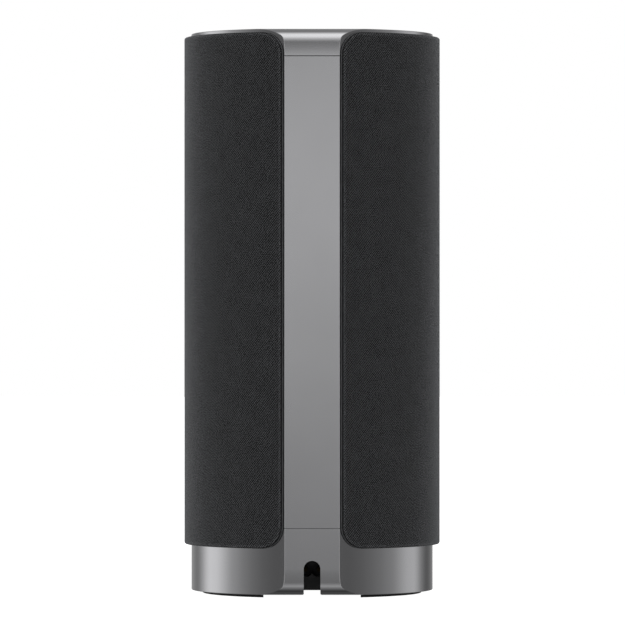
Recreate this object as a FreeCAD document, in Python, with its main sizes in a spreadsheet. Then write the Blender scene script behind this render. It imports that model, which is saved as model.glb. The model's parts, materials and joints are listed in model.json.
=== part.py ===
"""Tall smart speaker: aluminium column in a cloth cover, with its drivers and boards.

Millimetres, +Z up. The origin is on the floor, under the column's axis. The flat
spine and the cable notch face -Y, and the drivers face +Y.
"""
import FreeCAD, Part
import math
import os
import re
import Sketcher

V = FreeCAD.Vector

SIZES = {
    # how far joined solids run into each other
    "fuse_lap": 0.5,
    # screws: bores they cut into, bores they pass through, and the small ones' shanks and heads
    "pilot_bore": 0.9,
    "boss_bore": 1.2,
    "screw_clearance": 1.1,
    "small_shank": 0.9,
    "small_head": 2.0,
    "small_head_height": 1.2,
    # column
    "body_height": 280.0,
    "body_radius": 60.6,
    "flat_half_width": 13.4,
    "spine_half": 24.0,
    "metal_wall": 2.0,
    "seam_gap": 0.4,
    "rim_round": 0.35,
    "slab_round": 4.65,
    "lead_radius": 60.0,
    "lead_rise": 5.5,
    "cap_height": 13.2,
    "base_height": 32.55,
    "foot_height": 1.5,
    # foot
    "foot_outer": 55.0,
    "foot_inner": 49.5,
    "foot_gap_half": 24.0,
    # cloth cover and its carrier
    "carrier_wall": 2.6,
    "cloth_thickness": 0.9,
    "cloth_clearance": 0.1,
    "cover_lip": 1.7,
    "cover_bottom": 24.4,
    "cover_edge_half": 15.2,
    "cover_corner": 11.0,
    "slot_width": 3.4,
    "slot_length": 30.0,
    "slot_pitch": 37.0,
    "slot_first": 42.0,
    # base
    "plate_radius": 47.7,
    "plate_thick": 2.5,
    "plate_play": 0.3,
    "ledge_radius": 40.0,
    "ledge_thick": 2.5,
    "notch_half": 4.1,
    "notch_top": 18.5,
    "bay_half": 10.5,
    "bay_front": 10.0,
    "bay_back": 44.0,
    "tray_wall": 1.5,
    "lip_rise": 5.3,
    "inlet_half_width": 8.5,
    "inlet_height": 9.0,
    "inlet_depth": 18.0,
    "pin_radius": 1.1,
    "base_screw_ring": 44.0,
    "psu_radius": 38.0,
    "psu_back": 12.0,
    "psu_rise": 4.5,
    # decks and boards
    "deck_thick": 2.5,
    "board_thick": 1.6,
    "main_drop": 5.4,
    "main_radius": 52.0,
    "board_post": 3.0,
    "top_rise": 4.2,
    "top_board_radius": 47.0,
    "post_ring": 33.0,
    "ribbon_width": 12.0,
    "ribbon_thick": 0.8,
    # control panel
    "cap_opening": 46.0,
    "cap_screw_ring": 52.0,
    "cap_plate": 2.4,
    "panel_radius": 43.5,
    "panel_thick": 2.8,
    "panel_sink": 0.8,
    "button_radius": 5.5,
    "button_play": 0.1,
    "button_ring": 24.0,
    "button_travel": 0.5,
    "mic_ring": 39.0,
    "light_ring_place": 44.7,
    # cabinet
    "cabinet_radius": 55.0,
    "cabinet_wall": 3.0,
    "baffle_reach": 34.0,
    "side_reach": 48.5,
    "split_reach": 28.0,
    "gasket_thick": 1.0,
    "boss_reach": 40.0,
    # woofer
    "woofer_rise": 112.0,
    "woofer_flange": 41.0,
    "magnet_radius": 24.0,
    "pole_radius": 7.9,
    "coil_gap": 0.35,
    "lead_across": 20.0,
    "wire_radius": 1.25,
    "wire_hole_radius": 4.0,
    # tweeter
    "tweeter_drop": 42.0,
    "tweeter_flange": 18.0,
    "tweeter_hole": 14.5,
    "dome_radius": 11.5,
    # passive radiators
    "radiator_rise": 48.0,
    "radiator_frame_half": 22.0,
    "radiator_hole_half": 17.0,
    "radiator_plate_half": 12.0,
    "radiator_straight": 16.0,
}

doc = FreeCAD.newDocument("speaker")
sheet = doc.addObject("Spreadsheet::Sheet", "Sizes")
for row, (alias, value) in enumerate(SIZES.items(), start=1):
    sheet.set(f"A{row}", alias)
    sheet.set(f"B{row}", str(value))
    sheet.setAlias(f"B{row}", alias)
doc.recompute()

# Places that several pieces share, each worked out from the driving sizes.
SHARED = {
    "flat_reach": "sqrt(body_radius^2 - flat_half_width^2)",
    "inner_radius": "(body_radius - metal_wall)",
    "inner_flat": "(flat_reach - metal_wall)",
    "inner_half": "sqrt(inner_radius^2 - inner_flat^2)",
    "base_top": "(foot_height + base_height)",
    "cap_bottom": "(body_height - cap_height)",
    "plate_top": "(foot_height + plate_thick)",
    "lip_top": "(plate_top + ledge_thick)",
    "tray_roof": "(notch_top + 0.4)",
    "psu_level": "(plate_top + psu_rise)",
    "inlet_low": "(foot_height + lip_rise + 0.4)",
    "deck_top": "(base_top + deck_thick)",
    "upper_deck_low": "(cap_bottom - deck_thick)",
    "main_top": "(base_top - main_drop)",
    "main_low": "(main_top - board_thick)",
    "top_board_low": "(cap_bottom + top_rise)",
    "top_board_top": "(top_board_low + board_thick)",
    "cap_under": "(body_height - cap_plate)",
    "panel_top": "(body_height - panel_sink)",
    "panel_low": "(panel_top - panel_thick)",
    "woofer_level": "(deck_top + woofer_rise)",
    "tweeter_level": "(upper_deck_low - tweeter_drop)",
    "radiator_level": "(deck_top + radiator_rise)",
    "carrier_radius": "(body_radius + carrier_wall)",
    "cloth_radius": "(carrier_radius + cloth_thickness)",
    "cover_top": "(body_height - cover_lip)",
    "cavity_radius": "(cabinet_radius - cabinet_wall)",
    "gasket_back": "(split_reach + gasket_thick)",
    "lead_lean": "(lead_radius - sqrt(lead_radius^2 - lead_rise^2))",
    "round_sink": "(slab_round * (1 - lead_rise / lead_radius))",
    "round_reach": "(slab_round * sqrt(1 - (lead_rise / lead_radius)^2))",
    "ribbon_back": "(inner_flat - 0.5)",
    "ribbon_low": "(main_top + 1)",
    "ribbon_high": "(top_board_top + 0.4)",
    "woofer_hole": "(woofer_flange - 4.5)",
    "cone_radius": "(woofer_flange - 10.5)",
    "flange_front": "(baffle_reach + gasket_thick + 2.5)",
    "motor_front": "(flange_front - 31)",
    "coil_outer": "(pole_radius + 0.3 + 0.65)",
}


def tied(text):
    """The expression with every named size and shared place written out for the sheet."""
    def swap(match):
        word = match.group(0)
        if word in SHARED:
            return "(" + tied(SHARED[word]) + ")"
        return "Sizes." + word if word in SIZES else word
    return re.sub(r"[a-z][a-z_]*", swap, str(text))


def size(text):
    """The value of an expression in millimetres."""
    value = sheet.evalExpression(tied(text))
    return float(getattr(value, "Value", value))


def bind(target, **expressions):
    for prop, text in expressions.items():
        target.setExpression(prop.replace("__", "."), tied(text))


def new_body(label, several=False):
    body = doc.addObject("PartDesign::Body", label)
    body.Label = label
    body.AllowCompound = several
    return body


def origin_part(body, role):
    return next(part for part in body.Origin.OriginFeatures if part.Role == role)


def new_sketch(body, plane, name, across="0", up="0", out="0"):
    """An empty sketch on one of the body's planes, shifted by the given offsets."""
    sketch = body.newObject("Sketcher::SketchObject", f"{body.Name}_{name}")
    sketch.AttachmentSupport = [(origin_part(body, plane + "_Plane"), "")]
    sketch.MapMode = "FlatFace"
    bind(sketch, AttachmentOffset__Base__x=across, AttachmentOffset__Base__y=up,
         AttachmentOffset__Base__z=out)
    return sketch


def pin_point(sketch, index, end, across, up):
    """Tie one end of a drawn edge to two expressions, measured from the sketch's origin."""
    for kind, text in (("DistanceX", across), ("DistanceY", up)):
        row = sketch.addConstraint(Sketcher.Constraint(kind, -1, 1, index, end, size(text)))
        sketch.setExpression(f"Constraints[{row}]", tied(text))


def arc_between(start, end, radius):
    """The short arc from start to end; a positive radius bulges to the right of the way."""
    chord = end - start
    middle = (start + end) * 0.5
    reach = math.sqrt(max(radius ** 2 - (chord.Length / 2) ** 2, 0.0))
    left = V(-chord.y, chord.x, 0).normalize()
    centre = middle + left * reach * (1 if radius > 0 else -1)
    spread = (middle - centre)
    if spread.Length < 1e-6:
        spread = left * (-1 if radius > 0 else 1)
    top = centre + spread.normalize() * abs(radius)
    return Part.Arc(start, top, end)


def outline(sketch, corners):
    """Closed outline. A corner's third entry is the radius of the arc to the next corner."""
    points = [V(size(corner[0]), size(corner[1]), 0) for corner in corners]
    base = sketch.GeometryCount
    count = len(corners)
    starts = []
    for place, corner in enumerate(corners):
        start = points[place]
        end = points[(place + 1) % count]
        if len(corner) == 2:
            sketch.addGeometry(Part.LineSegment(start, end), False)
            starts.append((1, 2))
            continue
        radius = size(corner[2])
        sketch.addGeometry(arc_between(start, end, radius), False)
        # A drawn arc always runs counter-clockwise, so a left bulge starts at its end.
        starts.append((1, 2) if radius > 0 else (2, 1))
    for place in range(count):
        here = base + place
        following = base + (place + 1) % count
        sketch.addConstraint(Sketcher.Constraint(
            "Coincident", here, starts[place][1], following, starts[(place + 1) % count][0]))
        pin_point(sketch, here, starts[place][0], corners[place][0], corners[place][1])
        if len(corners[place]) == 3:
            radius = size(corners[place][2])
            row = sketch.addConstraint(Sketcher.Constraint("Radius", here, abs(radius)))
            sign = "" if radius > 0 else "-1 * "
            sketch.setExpression(f"Constraints[{row}]", tied(f"{sign}({corners[place][2]})"))


def ring(sketch, radius, across="0", up="0"):
    """A circle whose centre and radius are tied to expressions."""
    index = sketch.addGeometry(
        Part.Circle(V(size(across), size(up), 0), V(0, 0, 1), size(radius)), False)
    pin_point(sketch, index, 3, across, up)
    row = sketch.addConstraint(Sketcher.Constraint("Radius", index, size(radius)))
    sketch.setExpression(f"Constraints[{row}]", tied(radius))


def box_outline(sketch, left, low, right, high):
    outline(sketch, [(left, low), (right, low), (right, high), (left, high)])


def grow(body, kind, sketch, length, back=False, both=False):
    """Pad or pocket a sketch by a tied length."""
    feature = body.newObject("PartDesign::" + kind, f"{sketch.Name}_{kind}")
    feature.Profile = sketch
    bind(feature, Length=length)
    feature.Reversed = back
    feature.Midplane = both
    if kind == "Pocket":
        before = body_volume(body, feature)
        if feature.Shape.Volume >= before - 1e-6:
            raise RuntimeError(feature.Name + " cut nothing")
    return feature


def body_volume(body, feature):
    """Volume of the body before the feature, with the feature then recomputed."""
    doc.recompute()
    return feature.BaseFeature.Shape.Volume


def spin(body, sketch, axis):
    """Turn a sketch once round one of the body's axes or the sketch's own."""
    feature = body.newObject("PartDesign::Revolution", f"{sketch.Name}_turn")
    feature.Profile = sketch
    if axis == "Z":
        feature.ReferenceAxis = (origin_part(body, "Z_Axis"), [""])
    else:
        feature.ReferenceAxis = (sketch, [axis])
    feature.Angle = 360
    return feature


def disc(body, name, radius, low, height, across="0", up="0", kind="Pad", plane="XY"):
    """A cylinder added to or cut from a body, standing on a level above its plane."""
    sketch = new_sketch(body, plane, name, out=low)
    ring(sketch, radius, across, up)
    return grow(body, kind, sketch, height)


def block(body, name, left, front, right, back, low, height, kind="Pad"):
    """A box added to or cut from a body, standing on a level."""
    sketch = new_sketch(body, "XY", name, out=low)
    box_outline(sketch, left, front, right, back)
    return grow(body, kind, sketch, height)


def spots(ring_size, count, start=0.0):
    """Evenly spaced places on a ring, as pairs of expressions."""
    turns = [start + 360.0 * step / count for step in range(count)]
    return [(f"({ring_size}) * {round(math.cos(math.radians(turn)), 6)}",
             f"({ring_size}) * {round(math.sin(math.radians(turn)), 6)}") for turn in turns]


def discs(body, name, radius, low, height, places, kind="Pad", plane="XY"):
    """Like discs at several places, drawn in one sketch."""
    sketch = new_sketch(body, plane, name, out=low)
    for across, up in places:
        ring(sketch, radius, across, up)
    return grow(body, kind, sketch, height)


def d_outline(sketch, radius, flat):
    """A circle with a flat across its rear."""
    half = f"sqrt(({radius})^2 - ({flat})^2)"
    outline(sketch, [(f"-1 * {half}", f"-1 * ({flat})"),
                     (half, f"-1 * ({flat})", radius),
                     ("0", radius, radius)])


def d_cut(body, name, low, height):
    """Hollow out a shell to the metal's wall, following its flat."""
    sketch = new_sketch(body, "XY", name, out=low)
    d_outline(sketch, "inner_radius", "inner_flat")
    return grow(body, "Pocket", sketch, height, back=True)


def d_pad(body, name, low, height):
    sketch = new_sketch(body, "XY", name, out=low)
    d_outline(sketch, "inner_radius", "inner_flat")
    return grow(body, "Pad", sketch, height)


def screw_set(label, places, seat, length, shank, head, head_height, plane="XY", up=True):
    """Screws as separate solids: head, shank and a round socket in the head."""
    body = new_body(label, several=True)
    way = 1 if up else -1
    discs(body, "heads", head, seat, head_height, places, plane=plane)
    start = f"({seat}) + ({head_height})" if up else f"({seat}) - ({length})"
    discs(body, "shanks", shank, start, length, places, plane=plane)
    sketch = new_sketch(body, plane, "socket", out=seat if up else f"({seat}) + ({head_height})")
    for across, level in places:
        ring(sketch, f"({head}) * 0.45", across, level)
    grow(body, "Pocket", sketch, f"({head_height}) * 0.6", back=way > 0)
    return body


def holes(body, name, places, radius, low, height, plane="XY"):
    sketch = new_sketch(body, plane, name, out=low)
    for across, up in places:
        ring(sketch, radius, across, up)
    return grow(body, "Pocket", sketch, height, back=True)


# ---------------------------------------------------------------- metal column

def slab_cut(body, at_top):
    """Round the flat into the end of the column: a long lead-in, then the edge radius."""
    sketch = new_sketch(body, "YZ", "slab")
    way = "-1" if at_top else "1"
    end = "body_height" if at_top else "foot_height"
    outside = "-1 * (body_radius + 5)"
    far = f"({end}) + ({way}) * 30"
    lead = f"({end}) + ({way}) * (round_sink + lead_rise)"
    turn = f"({end}) + ({way}) * round_sink"
    past = f"({end}) - ({way}) * 2"
    sign = "" if at_top else "-1 * "
    face = "-1 * flat_reach"
    leaned = "-1 * flat_reach + lead_lean"
    rounded = "-1 * flat_reach + lead_lean + round_reach"
    outline(sketch, [(outside, far), (face, far),
                     (face, lead, f"-1 * {sign or '1 * '}lead_radius"),
                     (leaned, turn, f"-1 * {sign or '1 * '}slab_round"),
                     (rounded, end), (rounded, past), (outside, past)])
    return grow(body, "Pocket", sketch, "body_radius * 3", both=True)


def make_base_shell():
    body = new_body("base_shell")
    sketch = new_sketch(body, "XZ", "wall")
    outline(sketch, [("0", "foot_height"), ("body_radius - rim_round", "foot_height", "rim_round"),
                     ("body_radius", "foot_height + rim_round"),
                     ("body_radius", "base_top"), ("0", "base_top")])
    spin(body, sketch, "Z")
    slab_cut(body, at_top=False)
    d_cut(body, "room", "lip_top", "base_height")
    holes(body, "plate_seat", [("0", "0")], "plate_radius + plate_play", "foot_height - 1",
          "plate_thick + 1")
    holes(body, "ledge", [("0", "0")], "ledge_radius", "foot_height - 1", "base_height")
    discs(body, "bosses", "3.2", "lip_top - fuse_lap", "6", spots("base_screw_ring", 4, 45.0))
    holes(body, "boss_bores", spots("base_screw_ring", 4, 45.0), "boss_bore", "foot_height", "20")
    bay = new_sketch(body, "XY", "bay", out="foot_height - 1")
    box_outline(bay, "-1 * (bay_half + tray_wall + 0.3)", "-1 * (plate_radius + plate_play)",
                "bay_half + tray_wall + 0.3", "0")
    grow(body, "Pocket", bay, "ledge_thick + plate_thick + 1.01", back=True)
    notch = new_sketch(body, "XZ", "notch")
    outline(notch, [("-1 * notch_half", "foot_height - 1"), ("notch_half", "foot_height - 1"),
                    ("notch_half", "notch_top - notch_half", "notch_half"),
                    ("0", "notch_top", "notch_half"),
                    ("-1 * notch_half", "notch_top - notch_half")])
    grow(body, "Pocket", notch, "body_radius * 2", back=True)
    return body


def make_spine_panel():
    body = new_body("spine_panel")
    low = "base_top + seam_gap"
    sketch = new_sketch(body, "XY", "section", out=low)
    half = "spine_half"
    outer = f"-1 * sqrt(body_radius^2 - {half}^2)"
    inner = f"-1 * sqrt(inner_radius^2 - {half}^2)"
    outline(sketch, [(f"-1 * {half}", outer, "body_radius"),
                     ("-1 * flat_half_width", "-1 * flat_reach"),
                     ("flat_half_width", "-1 * flat_reach", "body_radius"),
                     (half, outer), (half, inner, "-1 * inner_radius"),
                     ("inner_half", "-1 * inner_flat"),
                     ("-1 * inner_half", "-1 * inner_flat", "-1 * inner_radius"),
                     (f"-1 * {half}", inner)])
    grow(body, "Pad", sketch, f"cap_bottom - seam_gap - ({low})")
    return body


def make_top_cap():
    body = new_body("top_cap")
    sketch = new_sketch(body, "XZ", "wall")
    outline(sketch, [("0", "cap_bottom"), ("body_radius", "cap_bottom"),
                     ("body_radius", "body_height - rim_round", "rim_round"),
                     ("body_radius - rim_round", "body_height"), ("0", "body_height")])
    spin(body, sketch, "Z")
    slab_cut(body, at_top=True)
    d_cut(body, "room", "cap_bottom - 1", "cap_height - cap_plate - 1.2 + 1")
    holes(body, "upper_room", [("0", "0")], "cap_opening + 5", "cap_bottom",
          "cap_height - cap_plate")
    holes(body, "opening", [("0", "0")], "cap_opening", "cap_bottom", "cap_height + 1")
    discs(body, "bosses", "3", "cap_bottom", "cap_height - cap_plate + fuse_lap",
          spots("cap_screw_ring", 3, 90.0))
    holes(body, "boss_bores", spots("cap_screw_ring", 3, 90.0), "boss_bore", "cap_bottom - 1", "9")
    return body


# ---------------------------------------------------------------- cloth cover

def sleeve(body, name, outer, inner, shrink):
    """A sleeve round the column, open at the rear, with rounded rear corners."""
    low = f"cover_bottom + {shrink}"
    high = f"cover_top - {shrink}"
    sketch = new_sketch(body, "XY", name, out=low)
    ring(sketch, outer)
    ring(sketch, inner)
    grow(body, "Pad", sketch, f"{high} - ({low})")
    window = new_sketch(body, "XZ", name + "_window")
    half = f"(cover_edge_half + {shrink})"
    corner = f"(cover_corner - {shrink})"
    outline(window, [(f"-1 * ({half} + {corner})", "cover_bottom - 5"),
                     (f"{half} + {corner}", "cover_bottom - 5"),
                     (f"{half} + {corner}", low, f"-1 * {corner}"),
                     (half, f"{low} + {corner}"),
                     (half, f"{high} - {corner}", f"-1 * {corner}"),
                     (f"{half} + {corner}", high),
                     (f"{half} + {corner}", "cover_top + 5"),
                     (f"-1 * ({half} + {corner})", "cover_top + 5"),
                     (f"-1 * ({half} + {corner})", high, f"-1 * {corner}"),
                     (f"-1 * {half}", f"{high} - {corner}"),
                     (f"-1 * {half}", f"{low} + {corner}", f"-1 * {corner}"),
                     (f"-1 * ({half} + {corner})", low)])
    grow(body, "Pocket", window, "body_radius * 2", back=True)


def make_grille_carrier():
    """The stiff perforated sleeve under the cloth."""
    body = new_body("grille_carrier")
    sleeve(body, "blank", "carrier_radius", "body_radius", "cloth_thickness")
    slots = new_sketch(body, "XZ", "slots")
    rows = 6
    for row in range(rows):
        low = f"slot_first + {row} * slot_pitch"
        outline(slots, [("-0.5 * slot_width", low), ("0.5 * slot_width", low),
                        ("0.5 * slot_width", f"{low} + slot_length"),
                        ("-0.5 * slot_width", f"{low} + slot_length")])
    pocket = grow(body, "Pocket", slots, "body_radius * 2", back=False)
    fan = body.newObject("PartDesign::PolarPattern", "slot_fan")
    fan.Originals = [pocket]
    fan.Axis = (origin_part(body, "Z_Axis"), [""])
    fan.Angle = 120
    fan.Occurrences = 11
    body.Tip = fan
    back_fan = body.newObject("PartDesign::PolarPattern", "slot_fan_back")
    back_fan.Originals = [pocket]
    back_fan.Axis = (origin_part(body, "Z_Axis"), [""])
    back_fan.Angle = 120
    back_fan.Occurrences = 11
    back_fan.Reversed = True
    body.Tip = back_fan
    return body


def make_grille_cloth():
    """The cloth stretched over the carrier and turned round its edges."""
    whole = new_body("cloth_blank")
    sleeve(whole, "blank", "cloth_radius", "body_radius + cloth_clearance", "0")
    room = new_body("cloth_room")
    sleeve(room, "blank", "carrier_radius", "body_radius - 2", "cloth_thickness")
    cloth = doc.addObject("Part::Cut", "grille_cloth")
    cloth.Base = whole
    cloth.Tool = room
    return cloth


# ---------------------------------------------------------------- base

def make_rubber_foot():
    body = new_body("rubber_foot")
    sketch = new_sketch(body, "XY", "ring")
    ring(sketch, "foot_outer")
    ring(sketch, "foot_inner")
    grow(body, "Pad", sketch, "foot_height")
    gap = new_sketch(body, "XY", "gap", out="-1")
    box_outline(gap, "-1 * foot_gap_half", "-1 * (foot_outer + 5)", "foot_gap_half", "0")
    grow(body, "Pocket", gap, "foot_height + 2", back=True)
    return body


def make_base_plate():
    body = new_body("base_plate")
    disc(body, "disc", "plate_radius", "foot_height", "plate_thick")
    lip = "lip_rise - plate_thick + fuse_lap"
    block(body, "lip", "-1 * inlet_half_width", "-1 * bay_front",
          "inlet_half_width", "-1 * bay_front + tray_wall", "plate_top - fuse_lap", lip)
    discs(body, "psu_posts", "board_post", "plate_top - fuse_lap", "psu_rise + fuse_lap", psu_places())
    bay = new_sketch(body, "XY", "bay", out="foot_height - 1")
    box_outline(bay, "-1 * bay_half", "-1 * bay_back", "bay_half", "-1 * bay_front")
    grow(body, "Pocket", bay, "plate_thick + 2", back=True)
    slot = new_sketch(body, "XY", "slot", out="foot_height - 1")
    box_outline(slot, "-1 * notch_half", "-1 * (plate_radius + 5)", "notch_half", "-1 * bay_front")
    grow(body, "Pocket", slot, "plate_thick + 2", back=True)
    holes(body, "screw_seats", spots("base_screw_ring", 4, 45.0), "2.9", "foot_height - 1", "2.4")
    holes(body, "screw_holes", spots("base_screw_ring", 4, 45.0), "1.6", "foot_height - 1", "9")
    holes(body, "post_bores", psu_places(), "pilot_bore", "plate_top + 1", "9")
    return body


def make_cable_tray():
    """Moulded roof and walls of the lead's channel and of the bay in front of the inlet."""
    body = new_body("cable_tray")
    block(body, "bay", "-1 * (bay_half + tray_wall)", "-1 * (bay_back + tray_wall)",
          "bay_half + tray_wall", "-1 * bay_front + tray_wall", "plate_top",
          "tray_roof + tray_wall - plate_top")
    block(body, "neck", "-1 * (notch_half + 0.2 + tray_wall)", "-1 * (inner_flat - 0.1)",
          "notch_half + 0.2 + tray_wall", "-1 * bay_back - 0.5", "lip_top",
          "tray_roof + tray_wall - (lip_top)")
    for name, half, back, front in (
            ("bay_room", "bay_half", "-1 * bay_back", "-1 * bay_front"),
            ("neck_room", "(notch_half + 0.2)", "-1 * (inner_flat + 3)", "-1 * bay_front")):
        sketch = new_sketch(body, "XY", name, out="foot_height")
        box_outline(sketch, f"-1 * {half}", back, half, front)
        grow(body, "Pocket", sketch, "tray_roof - foot_height", back=True)
    seat = new_sketch(body, "XZ", "inlet_window")
    box_outline(seat, "-1 * inlet_half_width", "foot_height", "inlet_half_width",
                "inlet_low + inlet_height")
    grow(body, "Pocket", seat, "bay_front + 1", back=True)
    return body


def psu_places():
    return [("26", "psu_back + 4"), ("-26", "psu_back + 4"), ("12", "psu_radius - 6"),
            ("-12", "psu_radius - 6")]


def make_power_inlet():
    """Two-pin inlet facing the bay, with a figure-eight socket."""
    body = new_body("power_inlet")
    block(body, "housing", "-1 * inlet_half_width", "-1 * bay_front - 0.5", "inlet_half_width",
          "inlet_depth - bay_front - 0.5", "inlet_low", "inlet_height")
    for side in ("-1", "1"):
        holes(body, "socket_left" if side == "-1" else "socket_right",
              [(f"{side} * 3.4", "inlet_low + 0.5 * inlet_height")], "3.7",
              "-1 * (inlet_depth - bay_front - 4)", "inlet_depth + 5", plane="XZ")
    holes(body, "pin_bores", pin_places(), "pin_radius", "-1 * inlet_depth", "inlet_depth * 3",
          plane="XZ")
    return body


def pin_places():
    return [("-3.4", "inlet_low + 0.5 * inlet_height"), ("3.4", "inlet_low + 0.5 * inlet_height")]


def make_inlet_pins():
    body = new_body("inlet_pins", several=True)
    discs(body, "pins", "pin_radius", "-1 * psu_back - 1", "psu_back + 1 + bay_front - 3",
          pin_places(), plane="XZ")
    return body


def make_psu_board():
    body = new_body("psu_board")
    sketch = new_sketch(body, "XY", "board", out="psu_level")
    half = "sqrt(psu_radius^2 - psu_back^2)"
    outline(sketch, [(f"-1 * {half}", "psu_back"), (half, "psu_back", "psu_radius"),
                     ("0", "psu_radius", "psu_radius")])
    grow(body, "Pad", sketch, "board_thick")
    holes(body, "screw_holes", psu_places(), "screw_clearance", "psu_level - 1", "5")
    return body


def make_transformer():
    body = new_body("transformer")
    top = "psu_level + board_thick"
    block(body, "core", "-9", "psu_back + 3", "9", "psu_back + 17", top, "4")
    block(body, "winding", "-7", "psu_back + 1.5", "7", "psu_back + 18.5", f"{top} + 4", "5")
    block(body, "core_top", "-9", "psu_back + 3", "9", "psu_back + 17", f"{top} + 9", "2")
    return body


def make_psu_capacitors():
    body = new_body("psu_capacitors", several=True)
    top = "psu_level + board_thick"
    discs(body, "tall", "4", top, "9.5", [("16", "psu_back + 9"), ("-16", "psu_back + 9")])
    discs(body, "small", "2.5", top, "7", [("23", "psu_back + 13"), ("-23", "psu_back + 13")])
    return body


def main_places():
    return spots("main_radius - 8", 4, 15.0)


def make_board_screws():
    """The small screws of the power board and the main board."""
    body = new_body("board_screws", several=True)
    psu_top = "psu_level + board_thick"
    discs(body, "psu_heads", "small_head", psu_top, "small_head_height", psu_places())
    discs(body, "psu_shanks", "small_shank", f"{psu_top} - 4.5", "4.5", psu_places())
    discs(body, "main_heads", "small_head", "main_low - small_head_height", "small_head_height",
          main_places())
    discs(body, "main_shanks", "small_shank", "main_low", "5", main_places())
    return body


def ribbon_slot(body, low, height):
    sketch = new_sketch(body, "XY", "ribbon_slot", out=low)
    box_outline(sketch, "-0.5 * ribbon_width - 1", "-1 * inner_flat - 1",
                "0.5 * ribbon_width + 1", "-1 * inner_flat + 2")
    grow(body, "Pocket", sketch, height, back=True)


def make_lower_deck():
    """Deck that joins the base to the cabinet and carries the main board."""
    body = new_body("lower_deck")
    d_pad(body, "plate", "base_top", "deck_thick")
    discs(body, "board_posts", "board_post", "main_top", "main_drop + fuse_lap", main_places())
    holes(body, "post_bores", main_places(), "pilot_bore", "main_top - 1", "main_drop")
    holes(body, "lead_hole", [lead_place()], "wire_hole_radius", "base_top - 1", "deck_thick + 2")
    ribbon_slot(body, "base_top - 1", "deck_thick + 2")
    return body


def make_main_board():
    body = new_body("main_board")
    disc(body, "board", "main_radius", "main_low", "board_thick")
    holes(body, "screw_holes", main_places(), "screw_clearance", "main_low - 1", "4")
    return body


def make_shield_cans():
    body = new_body("shield_cans", several=True)
    block(body, "radio", "-34", "-16", "-18", "-4", "main_top", "2.2")
    block(body, "processor", "-10", "-30", "12", "-12", "main_top", "2.2")
    return body


def make_heat_sink():
    """Finned block over the amplifier."""
    body = new_body("heat_sink")
    block(body, "base", "-18", "14", "14", "37", "main_top", "1.4")
    sketch = new_sketch(body, "XY", "fins", out="main_top + 1.4")
    for step in range(8):
        left = -17.5 + 4.3 * step
        box_outline(sketch, str(left), "14", str(left + 1.2), "37")
    grow(body, "Pad", sketch, "main_drop - 2")
    return body


def make_board_connectors():
    body = new_body("board_connectors", several=True)
    block(body, "ribbon_low", "-0.5 * ribbon_width - 1", "-46", "0.5 * ribbon_width + 1", "-41",
          "main_top", "2.4")
    block(body, "ribbon_high", "-0.5 * ribbon_width - 1", "-46", "0.5 * ribbon_width + 1", "-42.6",
          "top_board_top", "1.6")
    block(body, "speaker", "lead_across - 4", "motor_front - 6", "lead_across + 4",
          "motor_front + 2", "main_top", "2.4")
    return body


def make_ribbon_cable():
    """Flat cable from the main board up the rear of the cabinet to the top board."""
    body = new_body("ribbon_cable")
    sketch = new_sketch(body, "YZ", "run")
    back = "-1 * ribbon_back"
    front = "-1 * ribbon_back + ribbon_thick"
    low = "ribbon_low"
    high = "ribbon_high + ribbon_thick"
    bend = "2"
    inner = f"({bend} - ribbon_thick)"
    outline(sketch, [("-46", low), ("-46", f"{low} + ribbon_thick"),
                     (f"{back} + {bend}", f"{low} + ribbon_thick", f"-1 * {inner}"),
                     (front, f"{low} + {bend}"), (front, f"{high} - {bend}", f"-1 * {inner}"),
                     (f"{back} + {bend}", f"{high} - ribbon_thick"),
                     ("-46", f"{high} - ribbon_thick"), ("-46", high),
                     (f"{back} + {bend}", high, bend), (back, f"{high} - {bend}"),
                     (back, f"{low} + {bend}", bend), (f"{back} + {bend}", low)])
    grow(body, "Pad", sketch, "ribbon_width", both=True)
    return body


# ---------------------------------------------------------------- cabinet

def front_section(radius, side, baffle, split):
    """Plan of the cabinet's front part: a round body with a flat baffle and flat sides."""
    def across(depth):
        return f"sqrt({radius}^2 - {depth}^2)"
    return [(f"-1 * {across(split)}", f"-1 * {split}"),
            (across(split), f"-1 * {split}", radius),
            (side, f"-1 * {across(side)}"),
            (side, across(side), radius),
            (across(baffle), baffle),
            (f"-1 * {across(baffle)}", baffle, radius),
            (f"-1 * {side}", across(side)),
            (f"-1 * {side}", f"-1 * {across(side)}", radius)]


def boss_places():
    middle = "0.5 * (deck_top + upper_deck_low)"
    levels = ("deck_top + 12", middle, "upper_deck_low - 12")
    return [(f"{side} * boss_reach", level) for side in ("-1", "1") for level in levels]


def racetrack(sketch, half, straight, across="0", up="0"):
    """An upright slot outline: straight sides with round ends."""
    left = f"{across} - {half}"
    right = f"{across} + {half}"
    low = f"{up} - {straight}"
    high = f"{up} + {straight}"
    outline(sketch, [(right, low), (right, high, half), (across, f"{high} + {half}", half),
                     (left, high), (left, low, half), (across, f"{low} - {half}", half)])


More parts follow.
